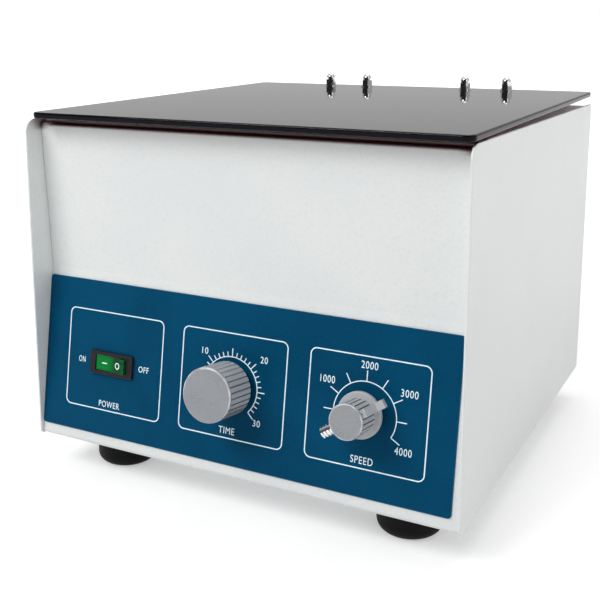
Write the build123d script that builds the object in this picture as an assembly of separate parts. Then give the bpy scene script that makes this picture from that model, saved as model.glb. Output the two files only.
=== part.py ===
from build123d import *
import os
from math import asin, atan2, cos, radians, sin, sqrt, tan

os.makedirs("parts", exist_ok=True)

# A low-speed bench centrifuge, in millimetres: +X right, +Y back, +Z up.
# The origin is under the middle of the object, on the surface that it stands on.

# Housing sheets
body_width = 300.0
body_depth = 306.0
body_height = 216.0
foot_height = 24.0
sheet = 1.5
sheet_bend = 2.5
lip = 15.0
lip_end_gap = 15.5
strip = 14.0
strip_screw_inset = 43.0
rear_screw_inset = 39.0
base_front_set = 5.0
lip_cut = 1.0
side_gap = 0.3
sheet_clear = 2.0
cheek_round = 9.0
cheek_round_low = 3.0
cheek_edge = 0.6

# Front fascia: a slanting lower panel, a bend and an upper panel
panel_inset = 1.5
bend_inset = 19.0
bend_rise = 115.5
bend_round = 3.0
upper_inset = 13.5
deck_drop = 3.0
deck_front_set = 4.0

# Printed control overlay, measured up the slope of the panel
overlay_thick = 0.8
overlay_low = 8.4
overlay_height = 102.0
overlay_margin = 4.8
overlay_round = 2.0

# Places of the controls on the panel
switch_side_gap = 56.0
switch_s = 56.8
timer_x = -1.8
speed_side_gap = 60.3
timer_s = 57.2
speed_s = 58.0

# Power switch
bezel_width = 34.0
bezel_height = 15.2
bezel_thick = 2.2
bezel_round = 1.0
switch_width = 28.2
switch_height = 13.2
switch_depth = 22.0
switch_wall = 1.4
cut_clear = 0.2
rocker_gap = 0.35
rocker_throw = 7.0
rocker_drop = 2.0
rocker_hollow = 1.0
rocker_depth = 5.0
rocker_pin = 1.2
rocker_pin_reach = 0.8
window_depth = 10.0
terminal_width = 6.3
terminal_thick = 0.8
terminal_reach = 9.0

# Knobs
knob_round = 1.0
knob_skin = 4.0
timer_knob_radius = 16.7
timer_knob_low = 4.0
timer_knob_top = 27.6
timer_flutes = 30
speed_grip_radius = 10.3
speed_knob_top = 27.0
speed_skirt_radius = 13.6
speed_skirt_top = 9.0
speed_skirt_thick = 2.6
speed_neck_radius = 9.2
speed_skirt_round = 0.8
speed_grip_round = 0.8
speed_knob_low = 2.4
speed_flutes = 22
speed_angle = 57.0
pointer_width = 5.0
pointer_tip = 18.3
pointer_lean = 0.6
pointer_tip_rise = 1.8
pointer_crease_rise = 3.4
pointer_crease_out = 0.4
pointer_root_out = 1.8
pointer_root_drop = 1.6
pointer_sink = 2.0
flute_width = 0.9
flute_depth = 0.5
flute_stop = 0.4
nut_room = 0.5
set_screw_radius = 3.6
set_screw_tip = 21.0
set_screw_level = 17.0
set_screw_groove = 0.5
set_screw_first = 2.0
set_screw_pitch = 2.2
set_screw_groove_width = 0.8

# Timer and speed potentiometer behind the panel
shaft_radius = 3.0
shaft_fit = 0.05
bushing_radius = 4.8
bushing_reach = 4.6
bushing_flange_radius = 9.0
bushing_flange_thick = 2.0
timer_nut_flats = 13.0
panel_nut_thick = 2.4
timer_size = 48.0
timer_depth = 36.0
timer_round = 6.0
timer_shaft_depth = 24.0
pot_radius = 12.0
pot_depth = 11.0
pot_bushing_radius = 3.6
pot_nut_flats = 10.0
pot_shaft_depth = 8.0
pot_tab_spread = 5.0
pot_tab_width = 2.0
pot_tab_thick = 0.8
pot_tab_reach = 6.0
pot_tab_level = 6.6

# Feet
foot_radius = 20.5
foot_round = 7.0
foot_side = 44.0
foot_inset = 40.0
foot_bore = 5.5
foot_bore_depth = 8.0

# Bowl, as large as the deck takes
bowl_side_margin = 21.5
bowl_end_margin = 17.75
bowl_wall = 1.2
bowl_floor = 112.0
bowl_corner = 20.0
bowl_lip_round = 1.5
bowl_flange_width = 12.5
bowl_hole = 20.0
bowl_clear = 1.5
gasket_set = 3.0
gasket_width = 3.0
gasket_thick = 1.0
bowl_screw_edge = 3.3

# Lid and hinges
lid_side_gap = 2.5
lid_shift = 2.4
lid_thick = 4.0
lid_round = 6.0
lid_edge_round = 1.2
lid_front_gap = 0.8
lid_rear_gap = 5.5
lid_seat_gap = 0.3
barrel_radius = 3.25
pin_radius = 1.5
pin_fit = 0.05
hinge_length = 45.0
hinge_shift = 10.0
hinge_spread = 120.0
hinge_screw_spread = 34.0
hinge_screw_back = 23.2
knuckle_length = 15.0
knuckle_gap = 0.3
leaf_thick = 1.5
leaf_reach = 32.0
leaf_drop = 27.0
leaf_screw_drop = 20.0
leaf_clear = 0.5
bumper_radius = 5.0
bumper_side = 18.0
bumper_inset = 30.0

# Acorn nuts
acorn_flats = 8.0
acorn_hex = 4.6
acorn_dome = 3.6
acorn_height = 9.6
acorn_round = 3.3
acorn_bore = 5.8
washer_radius = 5.0
washer_thick = 1.0

# Rotor for six tubes at an angle
tube_count = 6
tube_tilt = 40.0
tube_mouth_radius = 34.0
swing_gap = 11.1
head_floor_gap = 13.1
sleeve_bore = 10.3
sleeve_wall = 1.2
sleeve_rim = 1.5
sleeve_rim_thick = 1.5
sleeve_short = 2.0
sleeve_fit = 0.1
rim_clear = 0.4
head_wall = 17.0
hub_radius = 18.0
hub_floor_radius = 20.0
hub_web = 10.0
hub_height = 28.0
spindle_radius = 6.0
spindle_shoulder = 9.0
shoulder_thick = 5.0
rotor_nut_flats = 17.0
rotor_nut_thick = 8.0
thread_length = 13.0

# Motor
motor_radius = 44.0
motor_wall = 2.5
motor_length = 56.0
motor_end = 4.0
motor_boss_wall = 4.0
bell_thick = 6.0
boss_radius = 16.0
boss_neck = 6.0
motor_shaft_radius = 4.0
bearing_radius = 11.0
bearing_thick = 7.0
bearing_fit = 0.05
running_fit = 0.03
core_end = 6.0
running_end = 1.0
winding_step = 6.0
commutator_radius = 11.0
commutator_length = 9.0
brush_radius = 2.6
brush_length = 12.0
brush_gap = 0.3
brush_fit = 0.1
brush_holder_radius = 3.8
brush_holder_start = 16.0
brush_cap_radius = 4.8
brush_cap_thick = 2.4
brush_slot_width = 1.0
brush_slot_depth = 0.8
magnet_gap = 2.0
magnet_thick = 9.5
magnet_low = 12.0
magnet_split = 13.8
motor_plate_size = 120.0
motor_plate_thick = 2.0
motor_plate_round = 8.0
mount_spread = 50.0
mount_radius = 9.0
mount_waist = 7.2
mount_nut_thick = 4.0
mount_height = 13.0
motor_screw_circle = 28.0
boot_radius = 23.0
boot_fit = 0.2
boot_collar = 1.5

# Speed control board
board_side_gap = 13.5
board_rear_gap = 14.0
board_width = 90.0
board_length = 56.0
board_thick = 1.6
standoff_height = 8.0
standoff_radius = 3.0
standoff_inset = 5.0
heatsink_width = 50.0
heatsink_length = 18.0
heatsink_height = 26.0
heatsink_base = 4.0
heatsink_fins = 7
heatsink_fin_thick = 1.6
heatsink_inset = 3.0

# Parts on the board: left edge and front edge from the board's middle, width, length and height
transformer = (-14.0, 4.0, 26.0, 22.0, 20.0)
relay = (18.0, 8.0, 16.0, 18.0, 15.0)
terminal_block = (31.0, -20.0, 12.0, 24.0, 11.0)
capacitor_x = -30.0
capacitor_y = 12.0
capacitor_radius = 8.0
capacitor_height = 25.0

# Mains inlet and fuse on the rear panel
inlet_x = 92.0
inlet_z = 70.0
inlet_width = 27.6
inlet_height = 20.0
inlet_depth = 24.0
inlet_flange_width = 48.0
inlet_flange_height = 22.4
inlet_flange_thick = 2.6
inlet_screw_spread = 40.0
inlet_round = 3.0
socket_round = 2.0
socket_width = 24.0
socket_height = 16.2
socket_depth = 17.0
blade_width = 4.0
blade_thick = 2.0
blade_length = 11.5
blade_spread = 7.0
blade_rise = 2.0
fuse_x = 52.0
fuse_radius = 6.0
fuse_flange = 8.0
fuse_length = 30.0
fuse_cap_radius = 6.6
fuse_cap_length = 9.0
fuse_cap_edge = 0.8
fuse_slot_width = 1.2

# Vents
vent_count = 12
vent_pitch = 8.0
vent_width = 3.0
vent_length = 34.0
vent_x = -66.0
vent_z = 150.0
base_vent_count = 8
base_vent_length = 44.0
base_vent_side = 54.0

# Screws: thread radius, head radius and head height
screw_large = (2.5, 4.4, 2.6)
screw_medium = (2.0, 3.6, 2.0)
screw_small = (1.5, 2.8, 1.4)
screw_fine = (1.2, 2.2, 1.1)
screw_fit = 0.15
screw_round = 0.45
post_head = 1.2
post_end = 2.0

# Places worked out from the sizes above
half_width = body_width / 2
inner_x = half_width - sheet
lip_half_width = inner_x - lip_end_gap
overlay_right = inner_x - overlay_margin
switch_x = switch_side_gap - inner_x
speed_x = inner_x - speed_side_gap
foot_x = half_width - foot_side
bumper_x = half_width - bumper_side
base_vent_x = half_width - base_vent_side
lid_width = body_width - 2 * lid_side_gap
low_z = foot_height
top_z = low_z + body_height
deck_z = top_z - deck_drop
deck_top = deck_z + sheet
base_z = low_z + sheet
base_top = base_z + sheet
lean = atan2(bend_inset - panel_inset, bend_rise)
grip_edge = timer_knob_radius - knob_round
grip_front = overlay_thick + timer_knob_top - knob_round
knob_reach = grip_front * cos(lean) + grip_edge * sin(lean) + knob_round
knob_reach -= panel_inset + timer_s * sin(lean)
rear_reach = max(2 * barrel_radius, sheet + fuse_cap_length)
front_y = (knob_reach - rear_reach - body_depth) / 2
rear_y = front_y + body_depth
panel = Plane(origin=(0, front_y + panel_inset, low_z), x_dir=(1, 0, 0), z_dir=(0, -cos(lean), sin(lean)))
tilt = asin((lid_rear_gap - lid_front_gap) / body_depth)
hinge_y = rear_y + barrel_radius
hinge_z = top_z + lid_rear_gap - barrel_radius * (cos(tilt) - sin(tilt))
lid_plane = Plane(origin=(0, hinge_y, hinge_z), x_dir=(1, 0, 0), z_dir=(0, -sin(tilt), cos(tilt)))
hinge_places = [hinge_shift - hinge_spread / 2, hinge_shift + hinge_spread / 2]
strip_x = inner_x - strip / 2
deck_half = (body_depth - upper_inset) / 2
bowl_y = rear_y - deck_half
bowl_flange_radius = min(half_width - bowl_side_margin, deck_half - bowl_end_margin)
bowl_radius = bowl_flange_radius - bowl_flange_width
gasket_low = bowl_radius + gasket_set
bowl_screw_circle = bowl_flange_radius - bowl_screw_edge
flange_top = deck_top + bowl_wall
foot_places = [(x, y) for x in (-foot_x, foot_x) for y in (front_y + foot_inset, rear_y - foot_inset)]
plate_z = base_top + mount_height
case_z = plate_z + motor_plate_thick
bell_z = case_z + motor_length
bell_top = bell_z + bell_thick
lower_bearing_z = case_z + motor_end + 1.0
upper_bearing_z = bell_top - 1.0
core_radius = motor_radius - motor_wall - magnet_thick - magnet_gap
winding_radius = core_radius - winding_step
sin_tilt = sin(radians(tube_tilt))
cos_tilt = cos(radians(tube_tilt))
head_length = (bowl_radius - swing_gap - tube_mouth_radius - head_wall * cos_tilt) / sin_tilt
sleeve_length = head_length - sleeve_short
mouth_z = bowl_floor + head_floor_gap + head_length * cos_tilt + head_wall * sin_tilt
hub_top = mouth_z - (tube_mouth_radius - hub_floor_radius) * sin_tilt / cos_tilt
hub_low = hub_top - hub_height
commutator_low = bell_z - running_end - commutator_length
brush_z = commutator_low + commutator_length / 2
board_x = board_side_gap + board_width / 2 - inner_x
board_y = rear_y - board_rear_gap - board_length / 2
board_low = base_top + standoff_height
board_top = board_low + board_thick


def rod(radius, low, high):
    """An upright cylinder on the Z axis."""
    return Pos(0, 0, low) * Cylinder(radius, high - low, align=(Align.CENTER, Align.CENTER, Align.MIN))


def ring(bore, radius, low, high):
    """An upright tube on the Z axis."""
    return rod(radius, low, high) - rod(bore, low, high)


def block(x, y, z):
    """A box between the two ends of each range."""
    centre = Pos((x[0] + x[1]) / 2, (y[0] + y[1]) / 2, (z[0] + z[1]) / 2)
    return centre * Box(x[1] - x[0], y[1] - y[0], z[1] - z[0])


def turned(points):
    """A solid turned about the Z axis from points of radius and height."""
    return revolve(Plane.XZ * make_face(Polyline(*points, close=True)), Axis.Z)


def sheet_section(points, radii, thick, side):
    """The section of a folded or spun sheet: one face follows the points."""
    path = FilletPolyline(*points, radius=radii)
    return make_face(offset(path, amount=thick, side=side).edges())


def folded(points, radii, side):
    """A sheet folded along X, across the housing, from points of Y and Z."""
    section = Plane.YZ * sheet_section(points, radii, sheet, side)
    return extrude(section, inner_x - side_gap, both=True)


def group(shapes):
    """Separate solids that share one node."""
    return Compound([solid for shape in shapes for solid in shape.solids()])


def screw(kind, length):
    """A round-headed screw: the head stands on z = 0 and the shank hangs below."""
    thread, head, height = kind
    cap = rod(head, 0, height)
    cap = fillet(cap.edges().group_by(Axis.Z)[-1], height * screw_round)
    return cap + rod(thread, -length, 0)


def countersink(kind, fit=0.0):
    """The cone of a flat-headed screw, with its wide end on z = 0."""
    thread, head, height = kind
    return Pos(0, 0, -height / 2) * Cone(thread + fit, head + fit, height)


def hex_nut(flats, bore, low, high):
    """A hexagon nut on the Z axis."""
    blank = extrude(Pos(0, 0, low) * RegularPolygon(flats / 2, 6, major_radius=False), high - low)
    return blank - rod(bore, low, high)


def corner_radius(flats):
    """Reach of a hexagon nut's corners, from its width across flats."""
    return flats / sqrt(3)


def on_panel(x, s, h=0.0):
    """A place on the slanting panel: across, up the slope and out of the sheet."""
    return panel.location * Pos(x, s, h)


def lid_under(y):
    """Height of the lid's underside at a place from front to back."""
    return hinge_z + barrel_radius / cos(tilt) - (hinge_y - y) * tan(tilt)


def strip_places():
    """Where the screws go along the strips of the side panels."""
    rows = [front_y + strip_screw_inset, front_y + body_depth / 2, rear_y - strip_screw_inset]
    return [(x, y) for x in (-strip_x, strip_x) for y in rows]


def rear_places():
    """Where the screws go through the rear panel into the side panels."""
    levels = [low_z + rear_screw_inset, low_z + body_height / 2, top_z - rear_screw_inset]
    return [(x, z) for x in (-strip_x, strip_x) for z in levels]


def side_panel():
    """The right cheek, with strips turned inwards for the other sheets."""
    mid_y = (front_y + rear_y) / 2
    mid_z = (low_z + top_z) / 2
    outline = Pos(mid_y, mid_z) * Rectangle(body_depth, body_height)
    top_front = outline.vertices().filter_by(lambda v: v.X < mid_y and v.Y > mid_z)
    outline = fillet(top_front, cheek_round)
    others = outline.vertices().filter_by(lambda v: v.X > mid_y or v.Y < mid_z)
    outline = fillet(others, cheek_round_low)
    plate = extrude(Plane.YZ.offset(inner_x) * outline, sheet)
    plate = fillet(plate.faces().sort_by(Axis.X)[-1].edges(), cheek_edge)
    across = (inner_x - strip, inner_x)
    past_bend = sheet_bend + sheet_clear
    along = (front_y + bend_inset + sheet_clear, rear_y - past_bend)
    low_strip = block(across, (front_y + lip, along[1]), (low_z, base_z))
    top_strip = block(across, along, (deck_z - sheet, deck_z))
    rear_strip = block(across, (rear_y - 2 * sheet, rear_y - sheet), (low_z + past_bend, deck_z - past_bend))
    panel_solid = plate + low_strip + top_strip + rear_strip
    hole = screw_medium[0] + screw_fit
    for x, y in strip_places()[3:]:
        panel_solid -= Pos(x, y) * rod(hole, low_z - 1, base_z + 1)
        panel_solid -= Pos(x, y) * rod(hole, deck_z - sheet - 1, deck_z + 1)
    for x, z in rear_places()[3:]:
        panel_solid -= Pos(x, rear_y, z) * Rot(90, 0, 0) * rod(hole, 0, 3 * sheet)
    return panel_solid


def front_fascia():
    """One bent sheet between the cheeks, with lips under the deck and the base plate."""
    upper_z = deck_z - low_z
    points = [(panel_inset + lip, 0), (panel_inset, 0), (bend_inset, bend_rise), (upper_inset, upper_z)]
    points.append((upper_inset + lip, upper_z))
    places = [(front_y + y, low_z + z) for y, z in points]
    fascia = folded(places, [sheet_bend, bend_round, sheet_bend], Side.RIGHT)
    for side in (-1, 1):
        across = sorted((side * lip_half_width, side * half_width))
        low_start = front_y + panel_inset + sheet_bend + lip_cut
        top_start = front_y + upper_inset + sheet_bend + lip_cut
        fascia -= block(across, (low_start, low_start + lip), (low_z - 1, base_z + 0.1))
        fascia -= block(across, (top_start, top_start + lip), (deck_z - sheet - 0.1, deck_z + 1))
    cut = Box(switch_width + 2 * cut_clear, switch_height + 2 * cut_clear, 4 * sheet)
    fascia -= on_panel(switch_x, switch_s) * cut
    fascia -= on_panel(timer_x, timer_s) * rod(bushing_radius + cut_clear, -2 * sheet, sheet)
    fascia -= on_panel(speed_x, speed_s) * rod(pot_bushing_radius + cut_clear, -2 * sheet, sheet)
    return fascia


def control_overlay():
    """The printed plate on the slanting panel, against the left cheek."""
    left = -inner_x + side_gap
    width = overlay_right - left
    outline = RectangleRounded(width, overlay_height, overlay_round)
    centre = on_panel(left + width / 2, overlay_low + overlay_height / 2)
    plate = centre * extrude(outline, overlay_thick)
    cut = Box(switch_width + 2 * cut_clear, switch_height + 2 * cut_clear, 4 * overlay_thick)
    plate -= on_panel(switch_x, switch_s) * cut
    plate -= on_panel(timer_x, timer_s) * rod(bushing_radius + cut_clear, -1, 1 + overlay_thick)
    plate -= on_panel(speed_x, speed_s) * rod(pot_bushing_radius + cut_clear, -1, 1 + overlay_thick)
    return plate


def base_plate():
    """The flat bottom sheet, with threaded bosses for the feet and slots for air."""
    reach = inner_x - side_gap
    front = front_y + panel_inset + base_front_set
    back = rear_y - 2 * sheet - side_gap
    plate = block((-reach, reach), (front, back), (base_z, base_top))
    foot_thread = screw_large[0] + screw_fit
    for x, y in foot_places:
        plate += Pos(x, y) * rod(2 * foot_thread, base_top, base_top + 3 * sheet)
    for x, y in foot_places:
        plate -= Pos(x, y) * rod(foot_thread, base_z - 1, base_top + 4 * sheet)
    for x, y in strip_places():
        plate -= Pos(x, y) * rod(screw_medium[0] + screw_fit, base_z - 1, base_top + 1)
    for place in mount_places():
        plate -= place * rod(screw_large[0] + screw_fit, base_z - 1, base_top + 1)
    for x, y in standoff_places():
        plate -= Pos(x, y) * rod(screw_small[0] + screw_fit, base_z - 1, base_top + 1)
    for side in (-1, 1):
        for row in range(base_vent_count):
            y = bowl_y + (row - (base_vent_count - 1) / 2) * vent_pitch
            slot = extrude(SlotOverall(base_vent_length, vent_width), 4 * sheet, both=True)
            plate -= Pos(side * base_vent_x, y, base_z) * slot
    return plate


def top_deck():
    """The plate round the bowl, on the lips and strips of the other sheets."""
    reach = inner_x - side_gap
    front = front_y + upper_inset + deck_front_set
    deck = block((-reach, reach), (front, rear_y), (deck_z, deck_top))
    deck -= Pos(0, bowl_y) * rod(bowl_radius + bowl_wall + bowl_clear, deck_z - 1, deck_top + 1)
    for x, y in strip_places():
        deck -= Pos(x, y) * rod(screw_small[0] + screw_fit, deck_z - 1, deck_top + 1)
        deck -= Pos(x, y, deck_top) * countersink(screw_small, screw_fit)
    for place in bowl_screw_places():
        deck -= place * rod(screw_fine[0] + screw_fit, deck_z - 1, deck_top + 1)
    return deck


def rear_panel():
    """The back sheet, with lips, air slots and the holes for inlet, fuse and hinges."""
    points = [(rear_y - lip, low_z), (rear_y, low_z), (rear_y, deck_z), (rear_y - lip, deck_z)]
    panel_solid = folded(points, sheet_bend, Side.LEFT)
    for side in (-1, 1):
        across = sorted((side * lip_half_width, side * half_width))
        along = (rear_y - lip - 1, rear_y - sheet_bend - lip_cut)
        panel_solid -= block(across, along, (low_z - 1, base_z + 0.1))
        panel_solid -= block(across, along, (deck_z - sheet - 0.1, deck_z + 1))
    for column in range(vent_count):
        x = vent_x + (column - (vent_count - 1) / 2) * vent_pitch
        slot = extrude(SlotOverall(vent_length, vent_width, rotation=90), 4 * sheet, both=True)
        panel_solid -= Pos(x, rear_y, vent_z) * Rot(90, 0, 0) * slot
    face = Pos(0, rear_y, 0) * Rot(90, 0, 0)
    cut = Box(inlet_width + 2 * cut_clear, inlet_height + 2 * cut_clear, 6 * sheet)
    panel_solid -= face * Pos(inlet_x, inlet_z) * cut
    panel_solid -= face * Pos(fuse_x, inlet_z) * rod(fuse_radius + cut_clear, -sheet, 2 * sheet)
    for x in (inlet_x - inlet_screw_spread / 2, inlet_x + inlet_screw_spread / 2):
        panel_solid -= face * Pos(x, inlet_z) * rod(screw_small[0] + screw_fit, -sheet, 2 * sheet)
    for x, z in rear_places():
        panel_solid -= face * Pos(x, z) * rod(screw_medium[0] + screw_fit, -sheet, 2 * sheet)
    for x in leaf_screw_places():
        hole = rod(screw_medium[0] + screw_fit, -sheet, 2 * sheet)
        panel_solid -= face * Pos(x, hinge_z - leaf_screw_drop) * hole
    return panel_solid


def rubber_feet():
    """Four round rubber feet, hollow below for their screws."""
    foot = rod(foot_radius, 0, base_z)
    foot = fillet(foot.edges().group_by(Axis.Z)[0], foot_round)
    foot -= rod(foot_bore, 0, foot_bore_depth)
    foot -= rod(screw_large[0] + screw_fit, 0, base_z)
    return group([Pos(x, y) * foot for x, y in foot_places])


def foot_screws():
    """The screws that hold the feet, heads inside the rubber."""
    length = base_top + 3 * sheet - foot_bore_depth
    bolt = Pos(0, 0, foot_bore_depth) * Rot(180, 0, 0) * screw(screw_large, length)
    return group([Pos(x, y) * bolt for x, y in foot_places])


def base_screws():
    """The screws through the side strips into the base plate, heads below."""
    bolt = Pos(0, 0, low_z) * Rot(180, 0, 0) * screw(screw_medium, 3 * sheet)
    return group([Pos(x, y) * bolt for x, y in strip_places()])


def deck_screws():
    """Flat-headed screws that hold the deck to the side strips."""
    bolt = Pos(0, 0, deck_top) * (countersink(screw_small) + rod(screw_small[0], -3 * sheet, -screw_small[2]))
    return group([Pos(x, y) * bolt for x, y in strip_places()])


def rear_screws():
    """The screws through the rear panel into the side strips."""
    bolt = Rot(-90, 0, 0) * screw(screw_medium, 3 * sheet)
    return group([Pos(x, rear_y, z) * bolt for x, z in rear_places()])


def bowl_screw_places():
    """Places round the bowl's flange, clear of the lid's low front."""
    return [Pos(0, bowl_y) * Rot(0, 0, 60 * turn) * Pos(bowl_screw_circle, 0) for turn in range(6)]


def bowl():
    """The spun chamber: a floor with a hole, a deep wall and a flange on the deck."""
    outer = bowl_radius + bowl_wall
    floor = bowl_floor - bowl_wall
    points = [(bowl_hole, floor), (outer, floor), (outer, deck_top), (bowl_flange_radius, deck_top)]
    section = sheet_section(points, [bowl_corner + bowl_wall, bowl_lip_round], bowl_wall, Side.LEFT)
    chamber = Pos(0, bowl_y) * revolve(Plane.XZ * section, Axis.Z)
    for place in bowl_screw_places():
        chamber -= place * rod(screw_fine[0] + screw_fit, deck_z, flange_top + 1)
    return chamber


def bowl_gasket():
    """The rubber ring on the bowl's flange, just under the closed lid."""
    return Pos(0, bowl_y) * ring(gasket_low, gasket_low + gasket_width, flange_top, flange_top + gasket_thick)


def bowl_screws():
    """Low screws through the bowl's flange into the deck."""
    bolt = Pos(0, 0, flange_top) * screw(screw_fine, 3 * sheet)
    return group([place * bolt for place in bowl_screw_places()])


def lid_bumpers():
    """Two rubber pads that carry the front of the closed lid."""
    y = front_y + bumper_inset
    pad = rod(bumper_radius, deck_top, lid_under(y - bumper_radius) - lid_seat_gap)
    return group([Pos(side * bumper_x, y) * pad for side in (-1, 1)])


def leaf_screw_places():
    """Places of the hinge screws across the object."""
    half = hinge_screw_spread / 2
    return [x + side * half for x in hinge_places for side in (-1, 1)]


def knuckle_profile(y, z):
    """Section of a hinge barrel with its bore, at a place in Y and Z."""
    return Pos(y, z) * Circle(barrel_radius), Pos(y, z) * Circle(pin_radius + pin_fit)


def hinge_body_leaves():
    """The fixed hinge halves on the rear panel, each with two outer knuckles."""
    leaves = []
    barrel, bore = knuckle_profile(hinge_y, hinge_z)
    tail_height = leaf_drop
    tail = Pos(rear_y + leaf_thick / 2, hinge_z - tail_height / 2) * Rectangle(leaf_thick, tail_height)
    outer = (hinge_length - knuckle_length) / 2 - knuckle_gap
    for x in hinge_places:
        low = hinge_z - leaf_drop
        high = hinge_z - barrel_radius - leaf_clear
        half = hinge_length / 2
        leaf = block((x - half, x + half), (rear_y, rear_y + leaf_thick), (low, high))
        for start in (x - half, x + half - outer):
            leaf += extrude(Plane.YZ.offset(start) * (barrel + tail - bore), outer)
        for side in (-1, 1):
            hole = rod(screw_medium[0] + screw_fit, -2 * leaf_thick, leaf_thick)
            place = Pos(x + side * hinge_screw_spread / 2, rear_y, hinge_z - leaf_screw_drop)
            leaf -= place * Rot(90, 0, 0) * hole
        leaves.append(leaf)
    return group(leaves)


def hinge_pins():
    """The steel pins through the hinge knuckles."""
    pin = Rot(0, 90, 0) * Cylinder(pin_radius, hinge_length)
    return group([Pos(x, hinge_y, hinge_z) * pin for x in hinge_places])


def hinge_body_screws():
    """The screws that hold the fixed hinge halves to the rear panel."""
    bolt = Rot(-90, 0, 0) * screw(screw_medium, 3 * sheet)
    level = hinge_z - leaf_screw_drop
    return group([Pos(x, rear_y + leaf_thick, level) * bolt for x in leaf_screw_places()])


def in_lid(x, back, h=0.0):
    """A place in the lid's own plane: across, forward of the hinge axis and up."""
    return lid_plane.location * Pos(x, -back, h)


def lid():
    """The clear tinted plate, with polished edges and holes for the hinge screws."""
    plate = extrude(RectangleRounded(lid_width, body_depth, lid_round), lid_thick)
    faces = plate.faces().sort_by(Axis.Z)
    plate = fillet(faces[0].edges() + faces[-1].edges(), lid_edge_round)
    plate = in_lid(lid_shift, barrel_radius + body_depth / 2, barrel_radius) * plate
    for x in leaf_screw_places():
        hole = rod(screw_large[0] + screw_fit, -1, lid_thick + 1)
        plate -= in_lid(x, hinge_screw_back, barrel_radius) * hole
    return plate


def hinge_lid_leaves():
    """The moving hinge halves under the lid, each with the middle knuckle."""
    barrel, bore = knuckle_profile(0, 0)
    tongue_length = barrel_radius + leaf_clear + leaf_thick
    tongue = Pos(-tongue_length / 2, barrel_radius - leaf_thick / 2) * Rectangle(tongue_length, leaf_thick)
    section = Plane.YZ.offset(-knuckle_length / 2) * (barrel + tongue - bore)
    along = (-barrel_radius - leaf_reach, -barrel_radius - leaf_clear)
    half = hinge_length / 2
    leaf = block((-half, half), along, (barrel_radius - leaf_thick, barrel_radius))
    leaf += extrude(section, knuckle_length)
    for side in (-1, 1):
        hole = rod(screw_large[0] + screw_fit, 0, 2 * barrel_radius)
        leaf -= Pos(side * hinge_screw_spread / 2, -hinge_screw_back) * hole
    return group([in_lid(x, 0) * leaf for x in hinge_places])


def hinge_lid_screws():
    """The screws from under the lid leaf up into the acorn nuts."""
    length = leaf_thick + lid_thick + washer_thick + acorn_height / 2
    bolt = Rot(180, 0, 0) * screw(screw_large, length)
    level = barrel_radius - leaf_thick
    return group([in_lid(x, hinge_screw_back, level) * bolt for x in leaf_screw_places()])


def lid_washers():
    """Flat washers between the lid and the acorn nuts."""
    level = barrel_radius + lid_thick
    washer = ring(screw_large[0] + screw_fit, washer_radius, level, level + washer_thick)
    return group([in_lid(x, hinge_screw_back) * washer for x in leaf_screw_places()])


def lid_cap_nuts():
    """Acorn nuts on top of the lid: a hexagon with a domed cap."""
    nut = extrude(RegularPolygon(acorn_flats / 2, 6, major_radius=False), acorn_hex)
    dome = rod(acorn_dome, 0, acorn_height)
    nut += fillet(dome.edges().group_by(Axis.Z)[-1], acorn_round)
    nut -= rod(screw_large[0] + shaft_fit, 0, acorn_bore)
    level = barrel_radius + lid_thick + washer_thick
    return group([in_lid(x, hinge_screw_back, level) * nut for x in leaf_screw_places()])


def mount_places():
    """Corners of the motor plate, over its rubber mounts."""
    spots = [(x, y) for x in (-mount_spread, mount_spread) for y in (-mount_spread, mount_spread)]
    return [Pos(x, bowl_y + y) for x, y in spots]


def motor_screw_places():
    """Places of the screws that hold the motor to its plate."""
    return [Pos(0, bowl_y) * Rot(0, 0, 90 + 120 * turn) * Pos(motor_screw_circle, 0) for turn in range(3)]


def motor_plate():
    """The steel plate that carries the motor."""
    outline = RectangleRounded(motor_plate_size, motor_plate_size, motor_plate_round)
    plate = Pos(0, bowl_y, plate_z) * extrude(outline, motor_plate_thick)
    for place in mount_places():
        plate -= place * rod(screw_large[0] + screw_fit, plate_z - 1, case_z + 1)
    for place in motor_screw_places():
        plate -= place * rod(screw_medium[0] + screw_fit, plate_z - 1, case_z + 1)
    return plate


def motor_mounts():
    """Four rubber mounts between the base plate and the motor plate."""
    bore = screw_large[0] + screw_fit
    middle = (base_top + plate_z) / 2
    points = [(bore, base_top), (mount_radius, base_top), (mount_waist, middle)]
    points += [(mount_radius, plate_z), (bore, plate_z)]
    mount = turned(points)
    return group([place * mount for place in mount_places()])


def motor_mount_screws():
    """The screws up through the mounts, each with its nut on the motor plate."""
    length = case_z + mount_nut_thick + 1 - base_z
    bolt = Pos(0, 0, base_z) * Rot(180, 0, 0) * screw(screw_large, length)
    nut = hex_nut(acorn_flats, screw_large[0] + shaft_fit, case_z, case_z + mount_nut_thick)
    return group([place * piece for place in mount_places() for piece in (bolt, nut)])


def motor_case():
    """The motor's steel can, with the lower bearing seat in its floor."""
    seat = bearing_radius + bearing_fit
    boss = bearing_radius + motor_boss_wall
    inside = motor_radius - motor_wall
    floor = case_z + motor_end
    seat_top = lower_bearing_z + bearing_thick
    points = [(0, case_z), (motor_radius, case_z), (motor_radius, bell_z), (inside, bell_z), (inside, floor)]
    points += [(boss, floor), (boss, seat_top), (seat, seat_top)]
    points += [(seat, lower_bearing_z), (0, lower_bearing_z)]
    case = Pos(0, bowl_y) * turned(points)
    for place in motor_screw_places():
        case -= place * rod(screw_medium[0] + shaft_fit, case_z - 1, floor + 1)
    for frame in brush_frames():
        case -= frame * rod(brush_holder_radius + shaft_fit, brush_holder_start, motor_radius + 1)
    return case


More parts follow.
